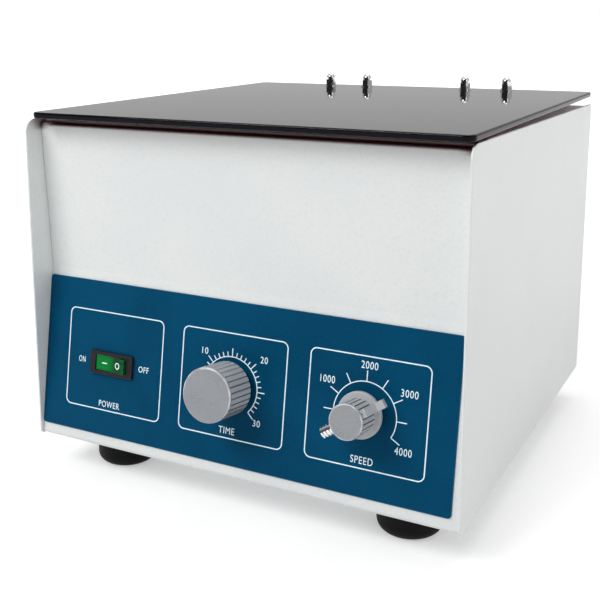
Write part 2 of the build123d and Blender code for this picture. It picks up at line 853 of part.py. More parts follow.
def motor_end_bell():
    """The motor's top end, with the upper bearing seat in a boss that reaches the bowl."""
    seat = bearing_radius + bearing_fit
    seat_top = upper_bearing_z + bearing_thick
    points = [(seat, bell_z), (motor_radius, bell_z), (motor_radius, bell_top), (boss_radius, bell_top)]
    points += [(boss_radius, bowl_floor), (boss_neck, bowl_floor), (boss_neck, seat_top), (seat, seat_top)]
    return Pos(0, bowl_y) * turned(points)


def motor_bearings():
    """Two ball bearings as plain rings, with running room round the shaft."""
    bore = motor_shaft_radius + running_fit
    lower = ring(bore, bearing_radius, lower_bearing_z, lower_bearing_z + bearing_thick)
    upper = ring(bore, bearing_radius, upper_bearing_z, upper_bearing_z + bearing_thick)
    return group([Pos(0, bowl_y) * lower, Pos(0, bowl_y) * upper])


def motor_magnets():
    """Two curved magnets inside the motor's can."""
    outer = motor_radius - motor_wall
    shell = ring(core_radius + magnet_gap, outer, case_z + magnet_low, bell_z - motor_end)
    shell -= block((-outer, outer), (-magnet_split, magnet_split), (case_z, bell_top))
    return Pos(0, bowl_y) * shell


def brush_frames():
    """Frames of the two brushes, on the motor's axis with Z pointing out to a side."""
    return [Pos(0, bowl_y, brush_z) * Rot(0, side * 90, 0) for side in (-1, 1)]


def motor_brushes():
    """Two carbon brushes in brass holders, each under a slotted cap outside the can."""
    start = commutator_radius + brush_gap
    carbon = rod(brush_radius, start, start + brush_length)
    holder = ring(brush_radius + brush_fit, brush_holder_radius, brush_holder_start, motor_radius)
    cap = rod(brush_cap_radius, motor_radius, motor_radius + brush_cap_thick)
    slot = Box(2 * brush_cap_radius, brush_slot_width, 2 * brush_slot_depth)
    cap -= Pos(0, 0, motor_radius + brush_cap_thick) * slot
    return group([frame * piece for frame in brush_frames() for piece in (carbon, holder + cap)])


def motor_screws():
    """The screws up through the motor plate into the motor's floor."""
    bolt = Pos(0, 0, plate_z) * Rot(180, 0, 0) * screw(screw_medium, motor_plate_thick + motor_end)
    return group([place * bolt for place in motor_screw_places()])


def shaft_boot():
    """The rubber ring that closes the gap between the motor's boss and the bowl."""
    bore = boss_radius + boot_fit
    under = bowl_floor - bowl_wall
    collar = bowl_hole - boot_fit
    points = [(bore, bell_top), (boot_radius, bell_top), (boot_radius, under), (collar, under)]
    points += [(collar, bowl_floor + boot_collar), (bore, bowl_floor + boot_collar)]
    return Pos(0, bowl_y) * turned(points)


def motor_shaft():
    """The stepped shaft: bearings below, a shoulder for the rotor and a thread on top."""
    end = lower_bearing_z
    step = bowl_floor + boot_collar + 1
    shoulder = hub_low - shoulder_thick
    points = [(0, end), (motor_shaft_radius, end), (motor_shaft_radius, step), (spindle_radius, step)]
    points += [(spindle_radius, shoulder), (spindle_shoulder, shoulder), (spindle_shoulder, hub_low)]
    points += [(spindle_radius, hub_low), (spindle_radius, hub_top), (motor_shaft_radius, hub_top)]
    points += [(motor_shaft_radius, hub_top + thread_length), (0, hub_top + thread_length)]
    return Pos(0, bowl_y) * turned(points)


def armature():
    """The wound core, its end windings and the commutator, as one turned piece."""
    bore = motor_shaft_radius + shaft_fit
    low = lower_bearing_z + bearing_thick + running_end
    high = bell_z - running_end
    core = (low + core_end, commutator_low - core_end)
    points = [(bore, low), (winding_radius, low), (winding_radius, core[0]), (core_radius, core[0])]
    points += [(core_radius, core[1]), (winding_radius, core[1]), (winding_radius, commutator_low)]
    points += [(commutator_radius, commutator_low), (commutator_radius, high), (bore, high)]
    return Pos(0, bowl_y) * turned(points)


def tube_frames():
    """Frames at the tube mouths: Z points out of each mouth, up and inwards."""
    frames = []
    for turn in range(tube_count):
        around = Pos(0, bowl_y, mouth_z) * Rot(0, 0, 360 * turn / tube_count)
        frames.append(around * Pos(tube_mouth_radius, 0) * Rot(0, -tube_tilt, 0))
    return frames


def rotor_head():
    """The cast angle head: a thick cone on a hub, bored for six slanting sleeves."""
    inner = (hub_floor_radius, hub_top)
    rim = (tube_mouth_radius + head_wall * cos_tilt, mouth_z + head_wall * sin_tilt)
    toe = (rim[0] + head_length * sin_tilt, rim[1] - head_length * cos_tilt)
    heel = (toe[0] - 2 * head_wall * cos_tilt, toe[1] - 2 * head_wall * sin_tilt)
    web_z = hub_top - hub_web
    web_r = heel[0] - (web_z - heel[1]) * sin_tilt / cos_tilt
    bore = spindle_radius + shaft_fit
    points = [(bore, hub_top), inner, rim, toe, heel, (web_r, web_z), (hub_radius, web_z)]
    points += [(hub_radius, hub_low), (bore, hub_low)]
    head = Pos(0, bowl_y) * turned(points)
    sleeve = sleeve_bore + sleeve_wall + sleeve_fit
    for frame in tube_frames():
        head -= frame * rod(sleeve, -2 * head_length, 0.5 * head_length)
        head -= frame * rod(sleeve + sleeve_rim + rim_clear, 0, 0.5 * head_length)
    return head


def tube_sleeves():
    """Six metal tube sleeves that hang in the head by their rims."""
    outer = sleeve_bore + sleeve_wall
    sleeve = rod(outer, -sleeve_length, 0) + rod(outer + sleeve_rim, 0, sleeve_rim_thick)
    sleeve -= rod(sleeve_bore, -sleeve_length + sleeve_wall, sleeve_rim_thick)
    return group([frame * sleeve for frame in tube_frames()])


def rotor_nut():
    """The domed nut that holds the head on the shaft."""
    high = hub_top + rotor_nut_thick
    return Pos(0, bowl_y) * hex_nut(rotor_nut_flats, motor_shaft_radius + shaft_fit, hub_top, high)


def switch_body():
    """The switch's frame and case, open in front for the rocker."""
    body = extrude(Rectangle(switch_width, switch_height), -switch_depth)
    bezel = extrude(RectangleRounded(bezel_width, bezel_height, bezel_round), bezel_thick)
    bezel = fillet(bezel.faces().sort_by(Axis.Z)[-1].edges(), bezel_round / 2)
    body = Pos(0, 0, overlay_thick) * (body + bezel)
    top = overlay_thick + bezel_thick
    window = (switch_width - 2 * switch_wall, switch_height - 2 * switch_wall)
    body -= Pos(0, 0, top - window_depth / 2) * Box(window[0], window[1], window_depth)
    pivot = Pos(0, 0, top - rocker_drop) * Rot(90, 0, 0)
    body -= pivot * Cylinder(rocker_pin + 2 * shaft_fit, window[1] + 2 * rocker_pin_reach + 4 * shaft_fit)
    for x in (-switch_width / 3, 0, switch_width / 3):
        low = overlay_thick - switch_depth
        blade = Box(terminal_thick, terminal_width, terminal_reach)
        body += Pos(x, 0, low - terminal_reach / 2) * blade
    return on_panel(switch_x, switch_s) * body


def power_rocker():
    """The rocker, left half pressed: ends rounded about the pivot and a shallow hollow on top."""
    radius = (switch_width - 2 * switch_wall) / 2 - rocker_gap
    width = switch_height - 2 * switch_wall - 2 * rocker_gap
    rise = radius * tan(radians(rocker_throw))
    high = rocker_hollow + rise
    ends = Circle(radius)
    outline = [(-radius, -rocker_depth), (radius, -rocker_depth), (radius, high), (0, rocker_hollow)]
    outline.append((-radius, high))
    section = ends & make_face(Polyline(*outline, close=True))
    body = extrude(Plane.XZ * section, width / 2, both=True)
    pins = Rot(90, 0, 0) * Cylinder(rocker_pin, width + 2 * rocker_gap + 2 * rocker_pin_reach)
    body = Rot(0, -rocker_throw, 0) * (body + pins)
    level = overlay_thick + bezel_thick - rocker_drop
    return on_panel(switch_x, switch_s, level) * body


def timer_body():
    """The clockwork timer's case behind the panel."""
    front = -sheet - bushing_flange_thick
    case = extrude(Pos(0, 0, front) * RectangleRounded(timer_size, timer_size, timer_round), -timer_depth)
    case -= rod(shaft_radius + cut_clear, front - timer_shaft_depth - 1, front)
    return on_panel(timer_x, timer_s) * case


def timer_bushing():
    """The timer's threaded bushing through the panel, with its flange and nut."""
    bore = shaft_radius + shaft_fit
    nut_z = overlay_thick
    bushing = ring(bore, bushing_radius, -sheet, nut_z + bushing_reach - overlay_thick)
    bushing += ring(bore, bushing_flange_radius, -sheet - bushing_flange_thick, -sheet)
    nut = hex_nut(timer_nut_flats, bushing_radius + shaft_fit, nut_z, nut_z + panel_nut_thick)
    return group([on_panel(timer_x, timer_s) * bushing, on_panel(timer_x, timer_s) * nut])


def flutes(radius, count, low, high):
    """Narrow grooves for a round grip."""
    groove = block((radius - flute_depth, radius + 1), (-flute_width / 2, flute_width / 2), (low, high))
    return [Rot(0, 0, 360 * turn / count) * groove for turn in range(count)]


def timer_knob():
    """The large time knob: a plain drum with a fluted side."""
    low = overlay_thick + timer_knob_low
    high = overlay_thick + timer_knob_top
    knob = rod(timer_knob_radius, low, high)
    knob = fillet(knob.edges().group_by(Axis.Z)[-1], knob_round)
    knob -= flutes(timer_knob_radius, timer_flutes, low - 1, high - knob_round - flute_stop)
    knob -= rod(corner_radius(timer_nut_flats) + 2 * nut_room, low - 1, low + panel_nut_thick)
    knob -= rod(shaft_radius + shaft_fit, low, high - knob_skin)
    return on_panel(timer_x, timer_s) * knob


def timer_shaft():
    """The timer's shaft, from inside its case up into the knob."""
    low = -sheet - bushing_flange_thick - timer_shaft_depth
    return on_panel(timer_x, timer_s) * rod(shaft_radius, low, overlay_thick + timer_knob_top - knob_skin)


def pot_body():
    """The speed potentiometer's case and bushing."""
    bore = shaft_radius + shaft_fit
    case = rod(pot_radius, -sheet - pot_depth, -sheet) - rod(bore, -sheet - pot_shaft_depth - 1, -sheet)
    case += ring(bore, pot_bushing_radius, -sheet, overlay_thick + bushing_reach)
    low = -sheet - pot_tab_level
    for x in (-pot_tab_spread, 0, pot_tab_spread):
        across = (x - pot_tab_width / 2, x + pot_tab_width / 2)
        case += block(across, (-pot_radius - pot_tab_reach, 1 - pot_radius), (low, low + pot_tab_thick))
    return on_panel(speed_x, speed_s) * case


def pot_nut():
    """The nut that holds the potentiometer to the panel."""
    bore = pot_bushing_radius + shaft_fit
    nut = hex_nut(pot_nut_flats, bore, overlay_thick, overlay_thick + panel_nut_thick)
    return on_panel(speed_x, speed_s) * nut


def speed_frame():
    """The speed knob's frame, turned to where the pointer stands on the dial."""
    return on_panel(speed_x, speed_s, overlay_thick) * Rot(0, 0, 90 - speed_angle)


def speed_knob():
    """The speed knob: a fluted grip on a thin round skirt, with a pointer arm."""
    skirt_low = speed_skirt_top - speed_skirt_thick
    grip = rod(speed_grip_radius, speed_skirt_top, speed_knob_top)
    grip = fillet(grip.edges().group_by(Axis.Z)[-1], speed_grip_round)
    top = speed_knob_top - knob_round - flute_stop
    grip -= flutes(speed_grip_radius, speed_flutes, speed_skirt_top + 1, top)
    skirt = rod(speed_skirt_radius, skirt_low, speed_skirt_top)
    skirt = fillet(skirt.edges().group_by(Axis.Z)[-1], speed_skirt_round)
    knob = grip + skirt + rod(speed_neck_radius, speed_knob_low, skirt_low)
    inside = speed_grip_radius - pointer_sink
    root_high = top - pointer_root_drop
    arm = [(inside, skirt_low), (pointer_tip - pointer_lean, skirt_low)]
    arm += [(pointer_tip, speed_skirt_top + pointer_tip_rise)]
    arm += [(speed_skirt_radius + pointer_crease_out, speed_skirt_top + pointer_crease_rise)]
    arm += [(speed_grip_radius + pointer_root_out, root_high), (inside, root_high)]
    arm_solid = extrude(Plane.XZ * make_face(Polyline(*arm, close=True)), pointer_width / 2, both=True)
    knob += arm_solid
    nut_hole = corner_radius(pot_nut_flats) + 2 * nut_room
    knob -= rod(nut_hole, speed_knob_low - 1, speed_knob_low + panel_nut_thick)
    knob -= rod(shaft_radius + shaft_fit, speed_knob_low, speed_knob_top - knob_skin)
    side_bore = Pos(0, 0, set_screw_level) * Rot(0, -90, 0)
    knob -= side_bore * rod(set_screw_radius + shaft_fit, shaft_radius, 2 * speed_grip_radius)
    return speed_frame() * knob


def speed_set_screw():
    """The bright grooved set screw that stands out of the knob opposite its pointer."""
    start = shaft_radius + 2 * shaft_fit
    bolt = rod(set_screw_radius, start, set_screw_tip)
    bolt = chamfer(bolt.edges().group_by(Axis.Z)[-1], set_screw_groove)
    for turn in range(4):
        level = set_screw_tip - set_screw_first - set_screw_pitch * turn
        groove = (level - set_screw_groove_width / 2, level + set_screw_groove_width / 2)
        bolt -= ring(set_screw_radius - set_screw_groove, 2 * set_screw_radius, *groove)
    return speed_frame() * Pos(0, 0, set_screw_level) * Rot(0, -90, 0) * bolt


def pot_shaft():
    """The potentiometer's shaft up into the speed knob."""
    low = -sheet - pot_shaft_depth
    return on_panel(speed_x, speed_s) * rod(shaft_radius, low, overlay_thick + speed_knob_top - knob_skin)


def standoff_places():
    """Places of the posts under the control board."""
    half_x = board_width / 2 - standoff_inset
    half_y = board_length / 2 - standoff_inset
    return [(board_x + x, board_y + y) for x in (-half_x, half_x) for y in (-half_y, half_y)]


def board_standoffs():
    """Posts that carry the control board, with their screws through the base plate."""
    post = rod(standoff_radius, base_top, board_low)
    post += rod(screw_small[0], base_z - post_head, board_top + post_end)
    return group([Pos(x, y) * post for x, y in standoff_places()])


def control_board():
    """The circuit board of the speed control."""
    board = Pos(board_x, board_y, board_low) * extrude(Rectangle(board_width, board_length), board_thick)
    for x, y in standoff_places():
        board -= Pos(x, y) * rod(screw_small[0] + screw_fit, board_low - 1, board_top + 1)
    return board


def board_heatsink():
    """A finned aluminium heatsink along the board's front edge."""
    high = (board_top, board_top + heatsink_height)
    x0 = board_x - heatsink_width / 2
    y0 = board_y - board_length / 2 + heatsink_inset
    sink = block((x0, x0 + heatsink_width), (y0, y0 + heatsink_base), high)
    pitch = (heatsink_width - heatsink_fin_thick) / (heatsink_fins - 1)
    for fin in range(heatsink_fins):
        start = x0 + fin * pitch
        along = (y0 + heatsink_base, y0 + heatsink_length)
        sink += block((start, start + heatsink_fin_thick), along, high)
    return sink


def board_parts():
    """Transformer, relay, terminal block and capacitor on the board."""
    place = Pos(board_x, board_y, board_top)
    boxes = []
    for left, front, width, length, height in (transformer, relay, terminal_block):
        boxes.append(place * block((left, left + width), (front, front + length), (0, height)))
    capacitor = place * Pos(capacitor_x, capacitor_y) * rod(capacitor_radius, 0, capacitor_height)
    return group([*boxes, capacitor])


def rear_frame(x, z):
    """A place on the rear panel's outer face, with Z pointing out of the back."""
    return Pos(x, rear_y, z) * Rot(-90, 0, 0)


def power_inlet():
    """The mains inlet: a flanged body with an open socket."""
    outline = RectangleRounded(inlet_flange_width, inlet_flange_height, inlet_round)
    flange = extrude(outline, inlet_flange_thick)
    body = extrude(RectangleRounded(inlet_width, inlet_height, inlet_round), -inlet_depth)
    socket = extrude(RectangleRounded(socket_width, socket_height, socket_round), -socket_depth)
    inlet = flange + body - Pos(0, 0, inlet_flange_thick) * socket
    for side in (-1, 1):
        hole = rod(screw_small[0] + screw_fit, -1, inlet_flange_thick + 1)
        inlet -= Pos(side * inlet_screw_spread / 2, 0) * hole
    return rear_frame(inlet_x, inlet_z) * inlet


def inlet_blades():
    """The three metal blades in the socket."""
    floor = inlet_flange_thick - socket_depth
    blade = extrude(Rectangle(blade_thick, blade_width), blade_length)
    places = [(-blade_spread, -blade_rise), (0, blade_rise), (blade_spread, -blade_rise)]
    return group([rear_frame(inlet_x, inlet_z) * Pos(x, y, floor) * blade for x, y in places])


def inlet_screws():
    """The two screws of the mains inlet."""
    bolt = Pos(0, 0, inlet_flange_thick) * screw(screw_small, 3 * sheet + inlet_flange_thick)
    places = [inlet_x - inlet_screw_spread / 2, inlet_x + inlet_screw_spread / 2]
    return group([rear_frame(x, inlet_z) * bolt for x in places])


def fuse_holder():
    """The fuse holder's body through the rear panel, with its grooved cap."""
    body = rod(fuse_radius, -fuse_length, 0) + rod(fuse_flange, 0, sheet)
    cap = rod(fuse_cap_radius, sheet, sheet + fuse_cap_length)
    cap = chamfer(cap.edges().group_by(Axis.Z)[-1], fuse_cap_edge)
    slot = Pos(0, 0, sheet + fuse_cap_length) * Box(2 * fuse_cap_radius, fuse_slot_width, 2 * sheet)
    return group([rear_frame(fuse_x, inlet_z) * body, rear_frame(fuse_x, inlet_z) * (cap - slot)])


pieces = {
    "base_plate": base_plate(),
    "left_side_panel": mirror(side_panel(), about=Plane.YZ),
    "right_side_panel": side_panel(),
    "front_fascia": front_fascia(),
    "control_overlay": control_overlay(),
    "top_deck": top_deck(),
    "rear_panel": rear_panel(),
    "rubber_feet": rubber_feet(),
    "foot_screws": foot_screws(),
    "base_screws": base_screws(),
    "deck_screws": deck_screws(),
    "rear_screws": rear_screws(),
    "bowl": bowl(),
    "bowl_gasket": bowl_gasket(),
    "bowl_screws": bowl_screws(),
    "lid_bumpers": lid_bumpers(),
    "hinge_body_leaves": hinge_body_leaves(),
    "hinge_pins": hinge_pins(),
    "hinge_body_screws": hinge_body_screws(),
    "lid": lid(),
    "hinge_lid_leaves": hinge_lid_leaves(),
    "hinge_lid_screws": hinge_lid_screws(),
    "lid_washers": lid_washers(),
    "lid_cap_nuts": lid_cap_nuts(),
    "motor_plate": motor_plate(),
    "motor_mounts": motor_mounts(),
    "motor_mount_screws": motor_mount_screws(),
    "motor_case": motor_case(),
    "motor_end_bell": motor_end_bell(),
    "motor_bearings": motor_bearings(),
    "motor_magnets": motor_magnets(),
    "motor_brushes": motor_brushes(),
    "motor_screws": motor_screws(),
    "shaft_boot": shaft_boot(),
    "motor_shaft": motor_shaft(),
    "armature": armature(),
    "rotor_head": rotor_head(),
    "tube_sleeves": tube_sleeves(),
    "rotor_nut": rotor_nut(),
    "switch_body": switch_body(),
    "power_rocker": power_rocker(),
    "timer_body": timer_body(),
    "timer_bushing": timer_bushing(),
    "timer_knob": timer_knob(),
    "timer_shaft": timer_shaft(),
    "pot_body": pot_body(),
    "pot_nut": pot_nut(),
    "speed_knob": speed_knob(),
    "speed_set_screw": speed_set_screw(),
    "pot_shaft": pot_shaft(),
    "board_standoffs": board_standoffs(),
    "control_board": control_board(),
    "board_heatsink": board_heatsink(),
    "board_parts": board_parts(),
    "power_inlet": power_inlet(),
    "inlet_blades": inlet_blades(),
    "inlet_screws": inlet_screws(),
    "fuse_holder": fuse_holder(),
}

for name, shape in pieces.items():
    export_step(shape, f"parts/{name}.step")
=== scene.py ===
import math

import bpy
from mathutils import Matrix, Vector


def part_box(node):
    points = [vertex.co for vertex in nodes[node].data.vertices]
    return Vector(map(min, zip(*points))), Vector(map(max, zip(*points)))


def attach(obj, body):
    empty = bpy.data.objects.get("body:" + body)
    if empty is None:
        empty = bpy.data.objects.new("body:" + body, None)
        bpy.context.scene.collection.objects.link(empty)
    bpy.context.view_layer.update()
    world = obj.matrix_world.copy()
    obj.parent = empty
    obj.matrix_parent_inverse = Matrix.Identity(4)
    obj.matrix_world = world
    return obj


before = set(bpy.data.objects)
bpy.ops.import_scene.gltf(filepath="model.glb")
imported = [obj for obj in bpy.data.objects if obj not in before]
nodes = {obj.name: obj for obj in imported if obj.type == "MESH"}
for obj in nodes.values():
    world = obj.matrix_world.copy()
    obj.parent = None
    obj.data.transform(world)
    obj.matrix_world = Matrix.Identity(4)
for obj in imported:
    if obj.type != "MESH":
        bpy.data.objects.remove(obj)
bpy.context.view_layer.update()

# Camera: set where the photograph was taken from, in body widths from the
# bottom left front corner of the housing. The lens is shifted, which brings the
# upright edges closer to upright.
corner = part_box("left_side_panel")[0]
body_width = 0.300
eye = corner + body_width * Vector((1.4782, -1.5581, 0.9118))
yaw, pitch, roll = 0.4782, 0.1870, 0.0010
picture_pixels, focal_pixels, sensor_width = 600, 957.2, 36
ahead = Vector((-math.sin(yaw) * math.cos(pitch), math.cos(yaw) * math.cos(pitch), -math.sin(pitch)))
level_right = Vector((math.cos(yaw), math.sin(yaw), 0))
level_up = level_right.cross(ahead)
tilted_right = math.cos(roll) * level_right + math.sin(roll) * level_up
tilted_up = level_up * math.cos(roll) - level_right * math.sin(roll)
turned = Matrix((tilted_right, tilted_up, -ahead)).transposed().to_4x4()
bpy.ops.object.camera_add()
camera = bpy.context.object
camera.matrix_world = Matrix.Translation(eye) @ turned
camera.data.sensor_width = sensor_width
camera.data.lens = focal_pixels / picture_pixels * sensor_width
camera.data.shift_y = -0.15
bpy.context.scene.camera = camera

# Studio floor: matt pale paper that keeps the object's shadow, with a white glow
# where it is looked at or mirrored. Close to the object the glow is weaker, so that
# bright metal has something dark to mirror.
floor_centre = Vector((0, 2, 0))
bpy.ops.mesh.primitive_plane_add(size=14, location=floor_centre)
floor = bpy.context.object
floor.name = "floor"


def plug(tree, socket, value):
    """Feeds a socket with a node's output, or gives it a plain value."""
    if isinstance(value, bpy.types.NodeSocket):
        tree.links.new(value, socket)
    else:
        socket.default_value = value


def number_in(tree, operation, *values):
    """The result of a Math node."""
    node = tree.nodes.new("ShaderNodeMath")
    node.operation = operation
    for socket, value in zip(node.inputs, values):
        plug(tree, socket, value)
    return node.outputs[0]


def vector_in(tree, operation, first, second=None):
    """The result of a Vector Math node."""
    node = tree.nodes.new("ShaderNodeVectorMath")
    node.operation = operation
    plug(tree, node.inputs[0], first)
    if second is not None:
        plug(tree, node.inputs["Scale" if operation == "SCALE" else 1], second)
    return node.outputs["Value" if operation in ("DISTANCE", "DOT_PRODUCT", "LENGTH") else "Vector"]


def range_in(tree, value, low, high, least=0.0, most=1.0):
    """A smooth step from least, where the value is low, to most, where it is high."""
    node = tree.nodes.new("ShaderNodeMapRange")
    node.interpolation_type = "SMOOTHSTEP"
    for title, part in (("Value", value), ("From Min", low), ("From Max", high),
                        ("To Min", least), ("To Max", most)):
        plug(tree, node.inputs[title], part)
    return node.outputs["Result"]


def place_in(tree):
    """Object coordinates, which are the frame's own, in metres."""
    return tree.nodes.new("ShaderNodeTexCoord").outputs["Object"]


floor_paint = bpy.data.materials.new("floor_paint")
floor_paint.use_nodes = True
tree = floor_paint.node_tree
tree.nodes.clear()
ray = tree.nodes.new("ShaderNodeLightPath").outputs
seen = number_in(tree, "MAXIMUM", ray["Is Camera Ray"], ray["Is Glossy Ray"])
seen = number_in(tree, "MAXIMUM", seen, ray["Is Transmission Ray"])
from_object = vector_in(tree, "DISTANCE", place_in(tree), -floor_centre)
whiteness = range_in(tree, from_object, 0.35, 2.0, 0.40, 1.0)
glow = tree.nodes.new("ShaderNodeEmission")
glow.inputs["Color"].default_value = (1, 1, 1, 1)
plug(tree, glow.inputs["Strength"], number_in(tree, "MULTIPLY", seen, whiteness))
matt = tree.nodes.new("ShaderNodeBsdfDiffuse")
matt.inputs["Color"].default_value = (0.82, 0.82, 0.82, 1)
both = tree.nodes.new("ShaderNodeAddShader")
plug(tree, both.inputs[0], glow.outputs[0])
plug(tree, both.inputs[1], matt.outputs[0])
out = tree.nodes.new("ShaderNodeOutputMaterial")
plug(tree, out.inputs["Surface"], both.outputs[0])
floor.data.materials.append(floor_paint)

# Studio air: white where it is seen, an even light elsewhere, and darker on the
# camera's side, again for bright metal to mirror.


def axes_in(tree, vector):
    """The X, Y and Z of a vector."""
    node = tree.nodes.new("ShaderNodeSeparateXYZ")
    plug(tree, node.inputs[0], vector)
    return node.outputs


def blend_in(tree, factor, first, second, kind="RGBA"):
    """The first colour or number where the factor is 0, and the second where it is 1."""
    node = tree.nodes.new("ShaderNodeMix")
    node.data_type = kind
    first_slot, second_slot, result = {"FLOAT": (2, 3, 0), "RGBA": (6, 7, 2)}[kind]
    plug(tree, node.inputs["Factor"], factor)
    plug(tree, node.inputs[first_slot], first)
    plug(tree, node.inputs[second_slot], second)
    return node.outputs[result]


world = bpy.data.worlds.new("studio_air")
bpy.context.scene.world = world
world.use_nodes = True
tree = world.node_tree
tree.nodes.clear()
direction = axes_in(tree, tree.nodes.new("ShaderNodeTexCoord").outputs["Generated"])
behind = range_in(tree, direction["Y"], -0.9, 0.25, 0.05, 1.0)
spread_light = number_in(tree, "MULTIPLY_ADD", behind, 0.38, 0.15)
mirrored_light = number_in(tree, "MULTIPLY", behind, 0.61)
ray = tree.nodes.new("ShaderNodeLightPath").outputs
unseen_light = blend_in(tree, ray["Is Glossy Ray"], spread_light, mirrored_light, "FLOAT")
seen = number_in(tree, "MAXIMUM", ray["Is Camera Ray"], ray["Is Transmission Ray"])
air = tree.nodes.new("ShaderNodeBackground")
air.inputs["Color"].default_value = (1, 1, 1, 1)
plug(tree, air.inputs["Strength"], blend_in(tree, seen, unseen_light, 1.0, "FLOAT"))
out = tree.nodes.new("ShaderNodeOutputWorld")
plug(tree, out.inputs["Surface"], air.outputs[0])
bpy.context.scene.view_settings.view_transform = "Standard"

# Studio lamps: a large soft key from the front left, a weak warm fill from the
# right, and a soft top light.


def softbox(name, place, aim, size, power, tint=(1, 1, 1)):
    """A rectangular lamp that faces the point it aims at."""
    bpy.ops.object.light_add(type="AREA", location=place)
    lamp = bpy.context.object
    lamp.name = name
    lamp.data.shape = "RECTANGLE"
    lamp.data.size, lamp.data.size_y = size
    lamp.data.energy = power
    lamp.data.color = tint
    lamp.rotation_euler = (Vector(aim) - Vector(place)).to_track_quat("-Z", "Y").to_euler()


softbox("key_softbox", place=(-1.0, -1.9, 2.1), aim=(0, 0, 0.12), size=(1.6, 1.2), power=46)
softbox("fill_softbox", place=(2.2, -0.8, 0.9), aim=(0, 0, 0.10), size=(1.2, 1.0), power=6,
        tint=(1.0, 0.985, 0.955))
softbox("top_softbox", place=(0.2, 0.6, 2.4), aim=(0, 0, 0.12), size=(1.6, 1.6), power=18)

# Painted sheets: cheeks, bent front, deck and back are folded steel with an
# off-white powder coat, which has a fine orange peel and a slight cloudiness.


def linear(red, green, blue):
    """A colour as read from a screen, 0 to 255, in the shader's own scale."""
    parts = [part / 255 for part in (red, green, blue)]
    parts = [part / 12.92 if part <= 0.04045 else ((part + 0.055) / 1.055) ** 2.4 for part in parts]
    return (*parts, 1)


def effect(name, inputs, outputs):
    """An empty node group, with what it takes in and what it gives out as named sockets."""
    group = bpy.data.node_groups.new(name, "ShaderNodeTree")
    for title, kind, value in inputs:
        socket = group.interface.new_socket(title, in_out="INPUT", socket_type=kind)
        if value is not None:
            socket.default_value = value
    for title, kind in outputs:
        group.interface.new_socket(title, in_out="OUTPUT", socket_type=kind)
    return group, group.nodes.new("NodeGroupInput").outputs, group.nodes.new("NodeGroupOutput").inputs


def noise_in(tree, vector, scale, detail):
    """Cloudy noise, finer where its scale is larger."""
    node = tree.nodes.new("ShaderNodeTexNoise")
    for title, value in (("Vector", vector), ("Scale", scale), ("Detail", detail)):
        plug(tree, node.inputs[title], value)
    return node.outputs["Fac"]


def relief_in(tree, height, strength, depth):
    """A normal with a shallow pattern in it."""
    node = tree.nodes.new("ShaderNodeBump")
    for title, value in (("Height", height), ("Strength", strength), ("Distance", depth)):
        plug(tree, node.inputs[title], value)
    return node.outputs[0]


grain_group, taken, given = effect(
    "grain",
    [("Colour", "NodeSocketColor", None), ("Second Colour", "NodeSocketColor", None),
     ("Speckle Colour", "NodeSocketColor", None), ("Speckle", "NodeSocketFloat", 0.2),
     ("Grain Size", "NodeSocketFloat", 600.0), ("Cloud Size", "NodeSocketFloat", 14.0),
     ("Relief", "NodeSocketFloat", 0.3), ("Roughness", "NodeSocketFloat", 0.4),
     ("Roughness Spread", "NodeSocketFloat", 0.06), ("Stretch", "NodeSocketVector", (1, 1, 1))],
    [("Colour", "NodeSocketColor"), ("Roughness", "NodeSocketFloat"), ("Normal", "NodeSocketVector")])
where = place_in(grain_group)
stretched = vector_in(grain_group, "MULTIPLY", where, taken["Stretch"])
fine = noise_in(grain_group, stretched, taken["Grain Size"], 3.0)
cloud = noise_in(grain_group, where, taken["Cloud Size"], 3.0)
cloudy = range_in(grain_group, cloud, 0.35, 0.65)
speck = number_in(grain_group, "MULTIPLY", range_in(grain_group, fine, 0.48, 0.72), taken["Speckle"])
clouded = blend_in(grain_group, cloudy, taken["Colour"], taken["Second Colour"])
plug(grain_group, given["Colour"], blend_in(grain_group, speck, clouded, taken["Speckle Colour"]))
plug(grain_group, given["Roughness"],
     number_in(grain_group, "MULTIPLY_ADD", cloud, taken["Roughness Spread"], taken["Roughness"]))
plug(grain_group, given["Normal"], relief_in(grain_group, fine, taken["Relief"], 0.0001))

# Wear and painted highlight: edges are a shade off the face beside them, in patches, partly where hands
# and cloths rub them and partly as a painted highlight for light catching them. The mask is how far the
# surface turns within a short reach.
wear_and_highlight_group, taken, given = effect(
    "edge_wear_and_highlight",
    [("Colour", "NodeSocketColor", None), ("Worn And Highlight Colour", "NodeSocketColor", None),
     ("Wear And Highlight", "NodeSocketFloat", 0.5), ("Reach", "NodeSocketFloat", 0.0007),
     ("Patch Size", "NodeSocketFloat", 60.0)],
    [("Colour", "NodeSocketColor")])
rounded = wear_and_highlight_group.nodes.new("ShaderNodeBevel")
rounded.samples = 4
plug(wear_and_highlight_group, rounded.inputs["Radius"], taken["Reach"])
true_normal = wear_and_highlight_group.nodes.new("ShaderNodeNewGeometry").outputs["Normal"]
likeness = vector_in(wear_and_highlight_group, "DOT_PRODUCT", rounded.outputs["Normal"], true_normal)
edge = range_in(wear_and_highlight_group, likeness, 0.995, 0.90)
patch = range_in(wear_and_highlight_group, noise_in(wear_and_highlight_group, place_in(wear_and_highlight_group), taken["Patch Size"], 2.0), 0.25, 0.6)
wear_and_highlight_share = number_in(wear_and_highlight_group, "MULTIPLY", number_in(wear_and_highlight_group, "MULTIPLY", edge, patch), taken["Wear And Highlight"])
plug(wear_and_highlight_group, given["Colour"], blend_in(wear_and_highlight_group, wear_and_highlight_share, taken["Colour"], taken["Worn And Highlight Colour"]))


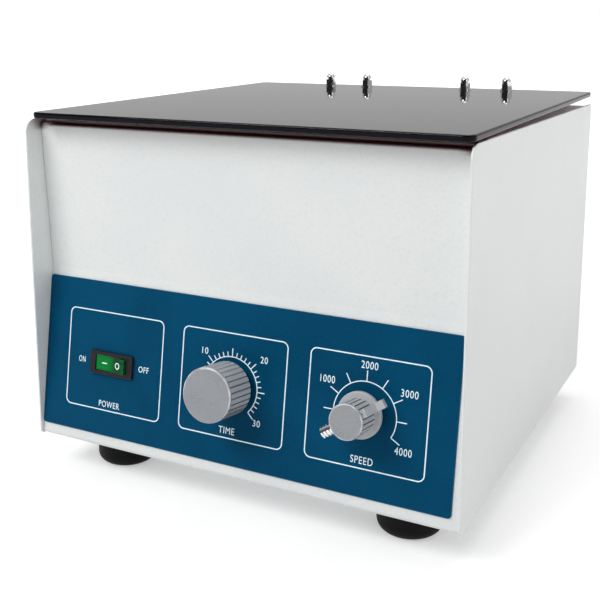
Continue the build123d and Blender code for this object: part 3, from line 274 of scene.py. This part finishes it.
def finish(name, group, settings, metallic=0.0, wear_and_highlight=None, **shader):
    """A material whose Principled shader takes colour, roughness and relief from an effect,
    with edges a shade off, as wear and as a painted highlight, where it is given their colour,
    how much they show and how wide they are."""
    material = bpy.data.materials.new(name)
    material.use_nodes = True
    tree = material.node_tree
    bsdf = tree.nodes["Principled BSDF"]
    node = tree.nodes.new("ShaderNodeGroup")
    node.node_tree = group
    for title, value in settings.items():
        node.inputs[title].default_value = value
    for title in ("Roughness", "Normal"):
        plug(tree, bsdf.inputs[title], node.outputs[title])
    colour = node.outputs["Colour"]
    if wear_and_highlight:
        worn_and_lit = tree.nodes.new("ShaderNodeGroup")
        worn_and_lit.node_tree = wear_and_highlight_group
        for title, value in zip(("Worn And Highlight Colour", "Wear And Highlight", "Reach"), wear_and_highlight):
            worn_and_lit.inputs[title].default_value = value
        plug(tree, worn_and_lit.inputs["Colour"], colour)
        colour = worn_and_lit.outputs["Colour"]
    # The edge colour is partly wear and partly a painted highlight.
    plug(tree, bsdf.inputs["Base Color"], colour)
    bsdf.inputs["Metallic"].default_value = metallic
    for title, value in shader.items():
        bsdf.inputs[title].default_value = value
    return material


def opened(material):
    """A material's tree, its Principled shader and what colours that."""
    tree = material.node_tree
    bsdf = tree.nodes["Principled BSDF"]
    return tree, bsdf, bsdf.inputs["Base Color"].links[0].from_socket


def dress(material, *names):
    """Gives CAD nodes their material."""
    for name in names:
        piece = nodes[name]
        if not piece.material_slots:
            piece.data.materials.append(material)
        for slot in piece.material_slots:
            slot.material = material


powder_coat = finish("powder_coat", grain_group, {
    "Colour": linear(239, 242, 241), "Second Colour": linear(235, 238, 238),
    "Speckle Colour": linear(226, 229, 228), "Speckle": 0.4, "Grain Size": 520.0, "Cloud Size": 9.0,
    "Relief": 0.55, "Roughness": 0.34, "Roughness Spread": 0.1}, wear_and_highlight=(linear(247, 249, 248), 0.5))

# Below the front of the lid the paint has a painted dark red shade, which stands in for the light that
# comes through the acrylic. It is painted only where the lid covers the paint, so it goes when the lid opens.
tree, bsdf, paint = opened(powder_coat)
lid_occlusion = tree.nodes.new("ShaderNodeAmbientOcclusion")
lid_occlusion.samples = 8
shade_reach, shade_drop, shade_depth, fade = 0.012, 0.006, 0.008, 0.004
lid_occlusion.inputs["Distance"].default_value = shade_reach
lid_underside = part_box("lid")[0].z
deck_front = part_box("top_deck")[0].y
spot = axes_in(tree, place_in(tree))
below_lid = range_in(tree, spot["Z"], lid_underside - shade_drop - fade, lid_underside - shade_drop)
at_front = range_in(tree, spot["Y"], deck_front + shade_depth + fade, deck_front + shade_depth)
# Painted shade: the paint turns dark red where the lid's occlusion is strong.
painted_red_shade = number_in(tree, "MULTIPLY", range_in(tree, lid_occlusion.outputs["AO"], 0.85, 0.45), below_lid)
painted_red_shade = number_in(tree, "MULTIPLY", painted_red_shade, at_front)
plug(tree, bsdf.inputs["Base Color"], blend_in(tree, painted_red_shade, paint, linear(64, 14, 22)))
dress(powder_coat, "left_side_panel", "right_side_panel", "front_fascia", "top_deck", "rear_panel")

# Base plate and motor plate: zinc plated sheet, drawn through rollers along its
# length, screwed to the strips of the cheeks.
zinc_plate = finish("zinc_plate", grain_group, {
    "Colour": linear(186, 189, 190), "Second Colour": linear(172, 176, 180),
    "Speckle Colour": linear(206, 208, 206), "Speckle": 0.5, "Grain Size": 420.0, "Cloud Size": 40.0,
    "Relief": 0.15, "Roughness": 0.30, "Roughness Spread": 0.16, "Stretch": (1.0, 0.06, 1.0)}, metallic=1.0,
    wear_and_highlight=(linear(140, 143, 148), 0.5))
dress(zinc_plate, "base_plate", "motor_plate")

# Screws and posts: pressed steel with bright zinc. The screws hold the feet, the
# sheets, the bowl, the hinges, the motor and the inlet, and the posts the board.
bright_zinc = finish("bright_zinc", grain_group, {
    "Colour": linear(205, 206, 208), "Second Colour": linear(188, 190, 196),
    "Speckle Colour": linear(150, 152, 158), "Speckle": 0.3, "Grain Size": 1400.0, "Cloud Size": 260.0,
    "Relief": 0.2, "Roughness": 0.24, "Roughness Spread": 0.12}, metallic=1.0)
dress(bright_zinc, "foot_screws", "base_screws", "deck_screws", "rear_screws", "bowl_screws",
      "hinge_body_screws", "motor_mount_screws", "motor_screws", "inlet_screws", "hinge_lid_screws",
      "board_standoffs")

# Rubber: the four moulded feet, the ring round the bowl, the lid's two pads, the
# motor's mounts and the boot round its shaft are matt black, with a dusty bloom.
black_rubber = finish("black_rubber", grain_group, {
    "Colour": linear(7, 8, 10), "Second Colour": linear(11, 12, 15),
    "Speckle Colour": linear(34, 35, 39), "Speckle": 0.3, "Grain Size": 1100.0, "Cloud Size": 70.0,
    "Relief": 0.5, "Roughness": 0.5, "Roughness Spread": 0.2}, **{"Specular IOR Level": 0.15})
dress(black_rubber, "rubber_feet", "bowl_gasket", "lid_bumpers", "motor_mounts", "shaft_boot")

# Bowl, rotor head and tube sleeves: turned and spun metal. The tool leaves fine
# rings round the axis, and the head is satin light alloy.
ring_group, taken, given = effect(
    "tool_rings",
    [("Colour", "NodeSocketColor", None), ("Second Colour", "NodeSocketColor", None),
     ("Axis", "NodeSocketVector", (0, 0, 0)), ("Ring Size", "NodeSocketFloat", 900.0),
     ("Relief", "NodeSocketFloat", 0.2), ("Roughness", "NodeSocketFloat", 0.2),
     ("Roughness Spread", "NodeSocketFloat", 0.2)],
    [("Colour", "NodeSocketColor"), ("Roughness", "NodeSocketFloat"), ("Normal", "NodeSocketVector")])


def point_in(tree, across, up):
    """A flat point made of two numbers."""
    node = tree.nodes.new("ShaderNodeCombineXYZ")
    plug(tree, node.inputs["X"], across)
    plug(tree, node.inputs["Y"], up)
    return node.outputs[0]


where = place_in(ring_group)
spot = axes_in(ring_group, vector_in(ring_group, "SUBTRACT", where, taken["Axis"]))
from_axis = vector_in(ring_group, "LENGTH", point_in(ring_group, spot["X"], spot["Y"]))
rings = noise_in(ring_group, point_in(ring_group, from_axis, spot["Z"]), taken["Ring Size"], 2.0)
smear = number_in(ring_group, "MULTIPLY", rings, noise_in(ring_group, where, 30.0, 2.0))
plug(ring_group, given["Colour"],
     blend_in(ring_group, range_in(ring_group, rings, 0.3, 0.7), taken["Colour"], taken["Second Colour"]))
plug(ring_group, given["Roughness"],
     number_in(ring_group, "MULTIPLY_ADD", smear, taken["Roughness Spread"], taken["Roughness"]))
plug(ring_group, given["Normal"], relief_in(ring_group, rings, taken["Relief"], 0.00005))

bowl_low, bowl_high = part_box("bowl")
spin_axis = ((bowl_low.x + bowl_high.x) / 2, (bowl_low.y + bowl_high.y) / 2, 0)
spun_steel = finish("spun_steel", ring_group, {
    "Colour": linear(198, 199, 200), "Second Colour": linear(182, 184, 187), "Axis": spin_axis,
    "Ring Size": 1200.0, "Relief": 0.25, "Roughness": 0.22, "Roughness Spread": 0.3}, metallic=1.0)
dress(spun_steel, "bowl")
satin_alloy = finish("satin_alloy", ring_group, {
    "Colour": linear(204, 206, 209), "Second Colour": linear(190, 193, 197), "Axis": spin_axis,
    "Ring Size": 700.0, "Relief": 0.35, "Roughness": 0.30, "Roughness Spread": 0.25}, metallic=1.0,
    wear_and_highlight=(linear(232, 233, 235), 0.6))
dress(satin_alloy, "rotor_head")
drawn_steel = finish("drawn_steel", ring_group, {
    "Colour": linear(202, 202, 203), "Second Colour": linear(186, 187, 189), "Axis": spin_axis,
    "Ring Size": 500.0, "Relief": 0.15, "Roughness": 0.16, "Roughness Spread": 0.2}, metallic=1.0)
dress(drawn_steel, "tube_sleeves")

# Motor: an enamelled case with a cast end bell, ferrite magnets glued inside it,
# and an armature on a ground shaft that runs in two ball bearings.
motor_enamel = finish("motor_enamel", grain_group, {
    "Colour": linear(38, 39, 42), "Second Colour": linear(46, 47, 50),
    "Speckle Colour": linear(70, 71, 74), "Speckle": 0.3, "Grain Size": 700.0, "Cloud Size": 60.0,
    "Relief": 0.4, "Roughness": 0.34, "Roughness Spread": 0.1}, wear_and_highlight=(linear(96, 97, 100), 0.6))
dress(motor_enamel, "motor_case")
cast_alloy = finish("cast_alloy", grain_group, {
    "Colour": linear(190, 192, 194), "Second Colour": linear(174, 176, 179),
    "Speckle Colour": linear(212, 213, 214), "Speckle": 0.4, "Grain Size": 800.0, "Cloud Size": 90.0,
    "Relief": 0.6, "Roughness": 0.42, "Roughness Spread": 0.14}, metallic=1.0)
dress(cast_alloy, "motor_end_bell", "board_heatsink")
ferrite = finish("ferrite", grain_group, {
    "Colour": linear(58, 58, 60), "Second Colour": linear(70, 69, 69),
    "Speckle Colour": linear(96, 95, 94), "Speckle": 0.4, "Grain Size": 900.0, "Cloud Size": 120.0,
    "Relief": 0.4, "Roughness": 0.66, "Roughness Spread": 0.1})
dress(ferrite, "motor_magnets")
ground_steel = finish("ground_steel", ring_group, {
    "Colour": linear(192, 193, 196), "Second Colour": linear(170, 172, 176), "Axis": spin_axis,
    "Ring Size": 2200.0, "Relief": 0.15, "Roughness": 0.18, "Roughness Spread": 0.22}, metallic=1.0)
dress(ground_steel, "motor_shaft", "motor_bearings", "armature", "timer_shaft", "pot_shaft")

# Polished steel: the domed nuts and washers on the lid, the rotor's nut and the
# set screw of the speed knob.
polish = finish("polish", grain_group, {
    "Colour": linear(226, 227, 229), "Second Colour": linear(216, 217, 221),
    "Speckle Colour": linear(190, 192, 197), "Speckle": 0.2, "Grain Size": 1600.0, "Cloud Size": 300.0,
    "Relief": 0.05, "Roughness": 0.05, "Roughness Spread": 0.06}, metallic=1.0)
dress(polish, "lid_cap_nuts", "lid_washers", "rotor_nut", "speed_set_screw")

# Control overlay: a stiff printed plate glued to the slanting front, deep blue
# with a fine satin texture.
overlay_blue = finish("overlay_blue", grain_group, {
    "Colour": linear(0, 75, 111), "Second Colour": linear(0, 69, 103),
    "Speckle Colour": linear(8, 88, 126), "Speckle": 0.3, "Grain Size": 900.0, "Cloud Size": 18.0,
    "Relief": 0.3, "Roughness": 0.42, "Roughness Spread": 0.08}, wear_and_highlight=(linear(60, 120, 150), 0.5),
    **{"Specular IOR Level": 0.05})
dress(overlay_blue, "control_overlay")

# White print on the overlay: three rounded frames, two dials, words and numbers,
# screened in thick ink. They are placed in millimetres from the housing's left
# edge, up the slope from the overlay's lower edge.
slope_back, slope_rise = 17.5, 115.5
lean = math.atan2(slope_back, slope_rise)
overlay_thick = 0.0008
overlay_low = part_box("control_overlay")[0]
print_origin = Vector((corner.x, overlay_low.y, overlay_low.z + overlay_thick * math.sin(lean)))
slope = Matrix(((1, 0, 0), (0, math.sin(lean), -math.cos(lean)), (0, math.cos(lean), math.sin(lean))))
print_face = Matrix.Translation(print_origin) @ slope.to_4x4()
ink_thick = 0.00015
# The ink has a faint painted glow, which keeps the print bright.
screen_ink = finish("screen_ink", grain_group, {
    "Colour": linear(238, 252, 255), "Second Colour": linear(230, 248, 254),
    "Speckle Colour": linear(214, 236, 245), "Speckle": 0.2, "Grain Size": 1500.0, "Cloud Size": 50.0,
    "Relief": 0.3, "Roughness": 0.48, "Roughness Spread": 0.08},
    **{"Emission Color": linear(215, 244, 255), "Emission Strength": 0.15})


def alone(piece):
    """Selects one object only and makes it the active one."""
    bpy.ops.object.select_all(action="DESELECT")
    piece.select_set(True)
    bpy.context.view_layer.objects.active = piece


def flat_plate(width, height):
    """A new flat rectangle, in metres."""
    bpy.ops.object.select_all(action="DESELECT")
    bpy.ops.mesh.primitive_plane_add(size=1)
    piece = bpy.context.object
    piece.scale = (width, height, 1)
    bpy.ops.object.transform_apply(location=False, rotation=False, scale=True)
    return piece


def settle(piece, place):
    """Puts a flat piece in its place and leaves the place in its mesh."""
    alone(piece)
    piece.matrix_world = place
    bpy.ops.object.transform_apply(location=True, rotation=True, scale=True)


def thicken(piece, amount):
    """Gives a flat piece a thickness above its face."""
    alone(piece)
    bpy.ops.object.transform_apply(location=True, rotation=True, scale=True)
    wall = piece.modifiers.new("wall", "SOLIDIFY")
    wall.thickness = amount
    wall.offset = 1
    bpy.ops.object.modifier_apply(modifier=wall.name)


def whiten(piece, name, place):
    """Puts a thickened print in its place, under its name, in white ink."""
    piece.name = name
    settle(piece, place)
    piece.data.materials.clear()
    piece.data.materials.append(screen_ink)


def on_overlay(across, up):
    """The place of a print on the overlay, from millimetres."""
    return print_face @ Matrix.Translation((across / 1000, up / 1000, 0))


def ink(piece, name, across, up):
    """Prints a flat shape on the overlay."""
    thicken(piece, ink_thick)
    whiten(piece, name, on_overlay(across, up))
    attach(piece, "housing")


def print_frame(name, left, right, low=16.5, high=82.5):
    """A thin rounded frame: a plane with its corners bevelled, inset, and opened."""
    corner_radius, line, steps = 0.0042, 0.0007, 7
    piece = flat_plate((right - left) / 1000, (high - low) / 1000)
    bpy.ops.object.mode_set(mode="EDIT")
    bpy.ops.mesh.select_all(action="SELECT")
    bpy.ops.mesh.bevel(offset=corner_radius, segments=steps, affect="VERTICES")
    bpy.ops.mesh.select_all(action="SELECT")
    bpy.ops.mesh.inset(thickness=line)
    bpy.ops.mesh.delete(type="FACE")
    bpy.ops.object.mode_set(mode="OBJECT")
    ink(piece, name, (left + right) / 2, (low + high) / 2)


print_frame("power_frame", 20.4, 96.7)
print_frame("time_frame", 111.5, 186.6)
print_frame("speed_frame", 201.3, 277.0)


def print_dial(name, across, up, radius, sweep, ticks):
    """A dial: an arc spun clockwise from a short edge at its top, then turned back by
    half its sweep, and a small bar outside it for each tick."""
    line, overlap, step = 0.6, 0.02, 3
    bpy.ops.object.select_all(action="DESELECT")
    start = (line / 2000, (radius + line / 2) / 1000, 0)
    bpy.ops.mesh.primitive_plane_add(size=line / 1000, location=start)
    piece = bpy.context.object
    bpy.ops.object.transform_apply(location=True, rotation=False, scale=False)
    bpy.ops.object.mode_set(mode="EDIT")
    bpy.ops.mesh.select_all(action="DESELECT")
    bpy.ops.object.mode_set(mode="OBJECT")
    for vertex in piece.data.vertices:
        vertex.select = vertex.co.x > line / 2000
    bpy.ops.object.mode_set(mode="EDIT")
    bpy.ops.mesh.delete(type="VERT")
    bpy.ops.mesh.select_all(action="SELECT")
    bpy.ops.mesh.spin(steps=int(sweep / step), angle=math.radians(sweep), center=(0, 0, 0), axis=(0, 0, 1))
    bpy.ops.object.mode_set(mode="OBJECT")
    settle(piece, Matrix.Rotation(math.radians(sweep / 2), 4, "Z"))
    bars = [piece]
    foot = radius + line - overlap
    for turn, reach in ticks:
        bar = flat_plate(line / 1000, (reach - foot) / 1000)
        middle = Matrix.Translation((0, (foot + reach) / 2000, 0))
        settle(bar, Matrix.Rotation(math.radians(-turn), 4, "Z") @ middle)
        bars.append(bar)
    for bar in bars:
        bar.select_set(True)
    bpy.context.view_layer.objects.active = piece
    bpy.ops.object.join()
    ink(piece, name, across, up)


long_tick, short_tick, speed_tick = 24.1, 21.9, 26.0
minutes = [(9.0 * minute - 135.0, short_tick if minute % 5 else long_tick) for minute in range(31)]
print_dial("time_dial", 148.2, 48.8, radius=18.6, sweep=270, ticks=minutes)
speeds = [(30.0 * step - 120.0, speed_tick) for step in range(9)]
print_dial("speed_dial", 238.2, 47.9, radius=19.4, sweep=240, ticks=speeds)


def print_word(name, words, across, up, width, height):
    """A word in a narrow upright letter, centred on its place."""
    bpy.ops.object.select_all(action="DESELECT")
    bpy.ops.object.text_add()
    piece = bpy.context.object
    piece.data.body = words
    piece.data.size = 0.01
    piece.data.resolution_u = 4
    piece.data.space_character = 1.12
    bpy.ops.object.convert(target="MESH")
    piece = bpy.context.object
    xs = [vertex.co.x for vertex in piece.data.vertices]
    ys = [vertex.co.y for vertex in piece.data.vertices]
    middle = Matrix.Translation((-(min(xs) + max(xs)) / 2, -(min(ys) + max(ys)) / 2, 0))
    fit = Matrix.Diagonal((width / 1000 / (max(xs) - min(xs)), height / 1000 / (max(ys) - min(ys)), 1, 1))
    piece.matrix_world = fit @ middle
    ink(piece, name, across, up)


print_word("word_on", "ON", 32.2, 48.3, 5.4, 4.0)
print_word("word_off", "OFF", 82.5, 48.6, 8.0, 4.0)
print_word("word_power", "POWER", 56.5, 21.1, 16.6, 4.1)
print_word("word_time", "TIME", 147.4, 21.5, 11.2, 4.2)
print_word("word_speed", "SPEED", 238.4, 21.6, 14.0, 4.4)
print_word("time_10", "10", 128.4, 68.7, 4.4, 4.1)
print_word("time_20", "20", 170.6, 69.0, 5.0, 4.1)
print_word("time_30", "30", 168.1, 29.7, 5.0, 4.1)
print_word("speed_1000", "1000", 213.5, 65.1, 9.4, 4.4)
print_word("speed_2000", "2000", 239.3, 77.1, 10.4, 4.4)
print_word("speed_3000", "3000", 264.6, 64.8, 10.4, 4.4)
print_word("speed_4000", "4000", 263.2, 31.4, 10.4, 4.4)

# Power switch, mains inlet and fuse holder: satin black moulded nylon, snapped
# or screwed into the sheet.
black_nylon = finish("black_nylon", grain_group, {
    "Colour": linear(27, 22, 31), "Second Colour": linear(21, 18, 25),
    "Speckle Colour": linear(50, 46, 55), "Speckle": 0.3, "Grain Size": 1500.0, "Cloud Size": 90.0,
    "Relief": 0.4, "Roughness": 0.38, "Roughness Spread": 0.1}, wear_and_highlight=(linear(84, 78, 88), 0.6),
    **{"Specular IOR Level": 0.25})
dress(black_nylon, "switch_body", "power_inlet", "fuse_holder")

# Rocker: clear green moulding, pressed in on the left, with its two marks printed in white.
# Its left half glows with painted light, which makes that half lighter than the right.
rocker_place = on_overlay(57.5, 48.4) @ Matrix.Translation((0, 0, 0.0002))
rocker_middle, glow_fade = rocker_place.translation.x, 0.004
rocker_green = finish("rocker_green", grain_group, {
    "Colour": linear(0, 78, 34), "Second Colour": linear(0, 66, 28),
    "Speckle Colour": linear(20, 128, 66), "Speckle": 0.35, "Grain Size": 500.0, "Cloud Size": 160.0,
    "Relief": 0.1, "Roughness": 0.22, "Roughness Spread": 0.08, "Stretch": (0.2, 1.0, 1.0)},
    wear_and_highlight=(linear(70, 180, 110), 0.6, 0.0004), **{"Specular IOR Level": 0.06})
tree, bsdf = opened(rocker_green)[:2]
across_rocker = axes_in(tree, place_in(tree))["X"]
# Painted glow on the left half of the rocker.
glow_side = range_in(tree, across_rocker, rocker_middle + glow_fade, rocker_middle - glow_fade)
plug(tree, bsdf.inputs["Emission Color"], blend_in(tree, glow_side, linear(0, 0, 0), linear(0, 176, 70)))
bsdf.inputs["Emission Strength"].default_value = 0.30
dress(rocker_green, "power_rocker")


def rocker_mark(piece, name, across, turn):
    """A flat white mark that lies on one half of the rocker's top."""
    throw, hollow, mark_thick = math.radians(7), 0.0010, 0.00012
    thicken(piece, mark_thick)
    place = rocker_place @ Matrix.Rotation(-throw, 4, "Y")
    place = place @ Matrix.Translation((across, 0, hollow + abs(across) * math.tan(throw)))
    whiten(piece, name, place @ Matrix.Rotation(turn * throw, 4, "Y"))
    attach(piece, "rocker")


dash = flat_plate(width=0.0040, height=0.0008)
bpy.ops.object.mode_set(mode="EDIT")
bpy.ops.mesh.select_all(action="SELECT")
bpy.ops.mesh.bevel(offset=0.0002, segments=3, affect="VERTICES")
bpy.ops.object.mode_set(mode="OBJECT")
rocker_mark(dash, "rocker_dash", across=-0.0055, turn=1)

bpy.ops.object.select_all(action="DESELECT")
bpy.ops.mesh.primitive_circle_add(vertices=40, radius=0.0022, fill_type="NGON")
circle = bpy.context.object
bpy.ops.object.mode_set(mode="EDIT")
bpy.ops.mesh.select_all(action="SELECT")
bpy.ops.mesh.inset(thickness=0.0007)
bpy.ops.mesh.delete(type="FACE")
bpy.ops.object.mode_set(mode="OBJECT")
rocker_mark(circle, "rocker_circle", across=0.0060, turn=-1)

# Knobs: grey moulded plastic drums with fluted flanks, gripped on their shafts.
# The rim of the face and the crests have a painted highlight, and the flutes a painted shade.
knob_light_group, taken, given = effect(
    "knob_highlight_and_shade",
    [("Colour", "NodeSocketColor", None), ("Highlight Colour", "NodeSocketColor", None),
     ("Shade Colour", "NodeSocketColor", None), ("Axis Point", "NodeSocketVector", (0, 0, 0)),
     ("Axis", "NodeSocketVector", (0, 0, 1)), ("Radius", "NodeSocketFloat", 0.01),
     ("Height", "NodeSocketFloat", 0.02)],
    [("Colour", "NodeSocketColor")])
where = place_in(knob_light_group)
from_foot = vector_in(knob_light_group, "SUBTRACT", where, taken["Axis Point"])
height = vector_in(knob_light_group, "DOT_PRODUCT", from_foot, taken["Axis"])
sideways = vector_in(knob_light_group, "SUBTRACT", from_foot, vector_in(knob_light_group, "SCALE", taken["Axis"], height))
sunk = number_in(knob_light_group, "SUBTRACT", taken["Radius"], vector_in(knob_light_group, "LENGTH", sideways))
below = number_in(knob_light_group, "SUBTRACT", taken["Height"], height)
patch = range_in(knob_light_group, noise_in(knob_light_group, where, 160.0, 2.0), 0.25, 0.7)
on_flank = range_in(knob_light_group, below, 0.0012, 0.0018)
rim_inset, rim_depth = (0.0011, 0.0005), (0.0009, 0.0003)
crest_inset, crest_highlight_share = (0.00025, 0.00005), 0.45
flute_inset, flute_floor, flute_shade_share = (0.0001, 0.0004), (0.0016, 0.0012), 0.65


def shared(*masks):
    """The share of the surface that all the masks leave."""
    mask = masks[0]
    for other in masks[1:]:
        mask = number_in(knob_light_group, "MULTIPLY", mask, other)
    return mask


# Painted highlight on the face's rim and on the crests, and painted shade in the flutes.
rim_highlight = shared(range_in(knob_light_group, sunk, *rim_inset), range_in(knob_light_group, below, *rim_depth), patch)
crest_highlight = shared(range_in(knob_light_group, sunk, *crest_inset), on_flank, crest_highlight_share)
flute_shade = shared(range_in(knob_light_group, sunk, *flute_inset), on_flank,
               range_in(knob_light_group, sunk, *flute_floor), flute_shade_share)
painted_light = number_in(knob_light_group, "MAXIMUM", rim_highlight, crest_highlight)
highlighted = blend_in(knob_light_group, painted_light, taken["Colour"], taken["Highlight Colour"])
plug(knob_light_group, given["Colour"], blend_in(knob_light_group, flute_shade, highlighted, taken["Shade Colour"]))


def knob_plastic(name, piece, seat, radius, height):
    """The grey plastic of one knob, with its painted highlight and shade laid out about the axis of the nut
    that it covers.
    """
    material = finish(name, grain_group, {
        "Colour": linear(154, 157, 161), "Second Colour": linear(147, 150, 155),
        "Speckle Colour": linear(180, 183, 187), "Speckle": 0.5, "Grain Size": 1500.0, "Cloud Size": 60.0,
        "Relief": 0.5, "Roughness": 0.36, "Roughness Spread": 0.1}, wear_and_highlight=(linear(205, 208, 212), 0.5, 0.0005))
    tree, bsdf, plastic = opened(material)
    painted_light = tree.nodes.new("ShaderNodeGroup")
    painted_light.node_tree = knob_light_group
    seat_low, seat_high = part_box(seat)
    outward = slope @ Vector((0, 0, 1))
    middle = (seat_low + seat_high) / 2
    settings = {
        "Colour": plastic, "Highlight Colour": linear(226, 229, 232), "Shade Colour": linear(84, 88, 94),
        "Axis Point": middle - outward * (middle - print_origin).dot(outward), "Axis": outward,
        "Radius": radius, "Height": height}
    for title, value in settings.items():
        plug(tree, painted_light.inputs[title], value)
    plug(tree, bsdf.inputs["Base Color"], painted_light.outputs["Colour"])
    dress(material, piece)


knob_plastic("time_knob_grey", "timer_knob", "timer_bushing", radius=0.0167, height=0.0276)
knob_plastic("speed_knob_grey", "speed_knob", "pot_nut", radius=0.0103, height=0.0270)

# Timer and speed control: the timer's case is natural nylon, with a brass bushing
# through the panel, and the speed control's is plated steel, with a brass nut. The
# inlet's blades and the motor's brushes take the same brass.
nylon = finish("nylon", grain_group, {
    "Colour": linear(222, 219, 208), "Second Colour": linear(212, 208, 196),
    "Speckle Colour": linear(198, 194, 180), "Speckle": 0.2, "Grain Size": 600.0, "Cloud Size": 60.0,
    "Relief": 0.2, "Roughness": 0.42, "Roughness Spread": 0.1})
dress(nylon, "timer_body")
turned_brass = finish("turned_brass", grain_group, {
    "Colour": linear(206, 178, 110), "Second Colour": linear(188, 158, 92),
    "Speckle Colour": linear(150, 122, 70), "Speckle": 0.3, "Grain Size": 1200.0, "Cloud Size": 160.0,
    "Relief": 0.2, "Roughness": 0.24, "Roughness Spread": 0.14}, metallic=1.0)
dress(turned_brass, "timer_bushing", "inlet_blades", "pot_nut", "motor_brushes")
plated_case = finish("plated_case", grain_group, {
    "Colour": linear(190, 186, 174), "Second Colour": linear(176, 170, 156),
    "Speckle Colour": linear(150, 146, 132), "Speckle": 0.3, "Grain Size": 900.0, "Cloud Size": 120.0,
    "Relief": 0.2, "Roughness": 0.30, "Roughness Spread": 0.14}, metallic=1.0)
dress(plated_case, "pot_body")

# Speed control board: green solder mask over glass fibre, with moulded black parts.
# Its heatsink is cast alloy, as the motor's end bell is.
solder_mask = finish("solder_mask", grain_group, {
    "Colour": linear(18, 92, 56), "Second Colour": linear(14, 82, 50),
    "Speckle Colour": linear(60, 128, 92), "Speckle": 0.4, "Grain Size": 700.0, "Cloud Size": 90.0,
    "Relief": 0.3, "Roughness": 0.3, "Roughness Spread": 0.1, "Stretch": (1.0, 0.3, 1.0)})
dress(solder_mask, "control_board")
moulded_black = finish("moulded_black", grain_group, {
    "Colour": linear(36, 36, 39), "Second Colour": linear(44, 44, 47),
    "Speckle Colour": linear(80, 80, 84), "Speckle": 0.3, "Grain Size": 1300.0, "Cloud Size": 120.0,
    "Relief": 0.4, "Roughness": 0.5, "Roughness Spread": 0.1})
dress(moulded_black, "board_parts")

# Hinges: nickel plated leaves rolled round their pins. The fixed ones are screwed to
# the back sheet, and the moving ones lie under the lid, with their nuts above it.
nickel = finish("nickel", grain_group, {
    "Colour": linear(204, 202, 198), "Second Colour": linear(197, 195, 191),
    "Speckle Colour": linear(184, 182, 179), "Speckle": 0.2, "Grain Size": 900.0, "Cloud Size": 60.0,
    "Relief": 0.1, "Roughness": 0.24, "Roughness Spread": 0.08, "Stretch": (0.2, 1.0, 1.0)}, metallic=1.0,
    wear_and_highlight=(linear(226, 225, 222), 0.6))
dress(nickel, "hinge_body_leaves", "hinge_pins", "hinge_lid_leaves")

# Lid: a plate of dark red-brown acrylic with rounded, polished edges. It tints the
# light that comes through it, and its cut edges are nearly black.
lid_acrylic = finish("lid_acrylic", grain_group, {
    "Colour": linear(46, 20, 25), "Second Colour": linear(41, 18, 23),
    "Speckle Colour": linear(62, 26, 28), "Speckle": 0.2, "Grain Size": 300.0, "Cloud Size": 6.0,
    "Relief": 0.01, "Roughness": 0.03, "Roughness Spread": 0.02}, IOR=1.30)
tree, face_bsdf = opened(lid_acrylic)[:2]
face_bsdf.inputs["Transmission Weight"].default_value = 1.0
edge_bsdf = tree.nodes.new("ShaderNodeBsdfPrincipled")
edge_bsdf.inputs["Base Color"].default_value = linear(12, 9, 18)
edge_bsdf.inputs["Roughness"].default_value = 0.12
edge_bsdf.inputs["IOR"].default_value = 1.15
tinted_light = tree.nodes.new("ShaderNodeBsdfTransparent")
tinted_light.inputs["Color"].default_value = linear(84, 20, 24)
facing = axes_in(tree, tree.nodes.new("ShaderNodeTexCoord").outputs["Normal"])
cut_edge = range_in(tree, number_in(tree, "ABSOLUTE", facing["Z"]), 0.5, 0.3)


def either_shader(factor, first, second):
    """The first shader where the factor is 0, and the second where it is 1."""
    node = tree.nodes.new("ShaderNodeMixShader")
    for socket, value in zip(node.inputs, (factor, first.outputs[0], second.outputs[0])):
        plug(tree, socket, value)
    return node


plate = either_shader(cut_edge, face_bsdf, edge_bsdf)
is_shadow_ray = tree.nodes.new("ShaderNodeLightPath").outputs["Is Shadow Ray"]
plug(tree, tree.nodes["Material Output"].inputs["Surface"],
     either_shader(is_shadow_ray, plate, tinted_light).outputs[0])
dress(lid_acrylic, "lid")
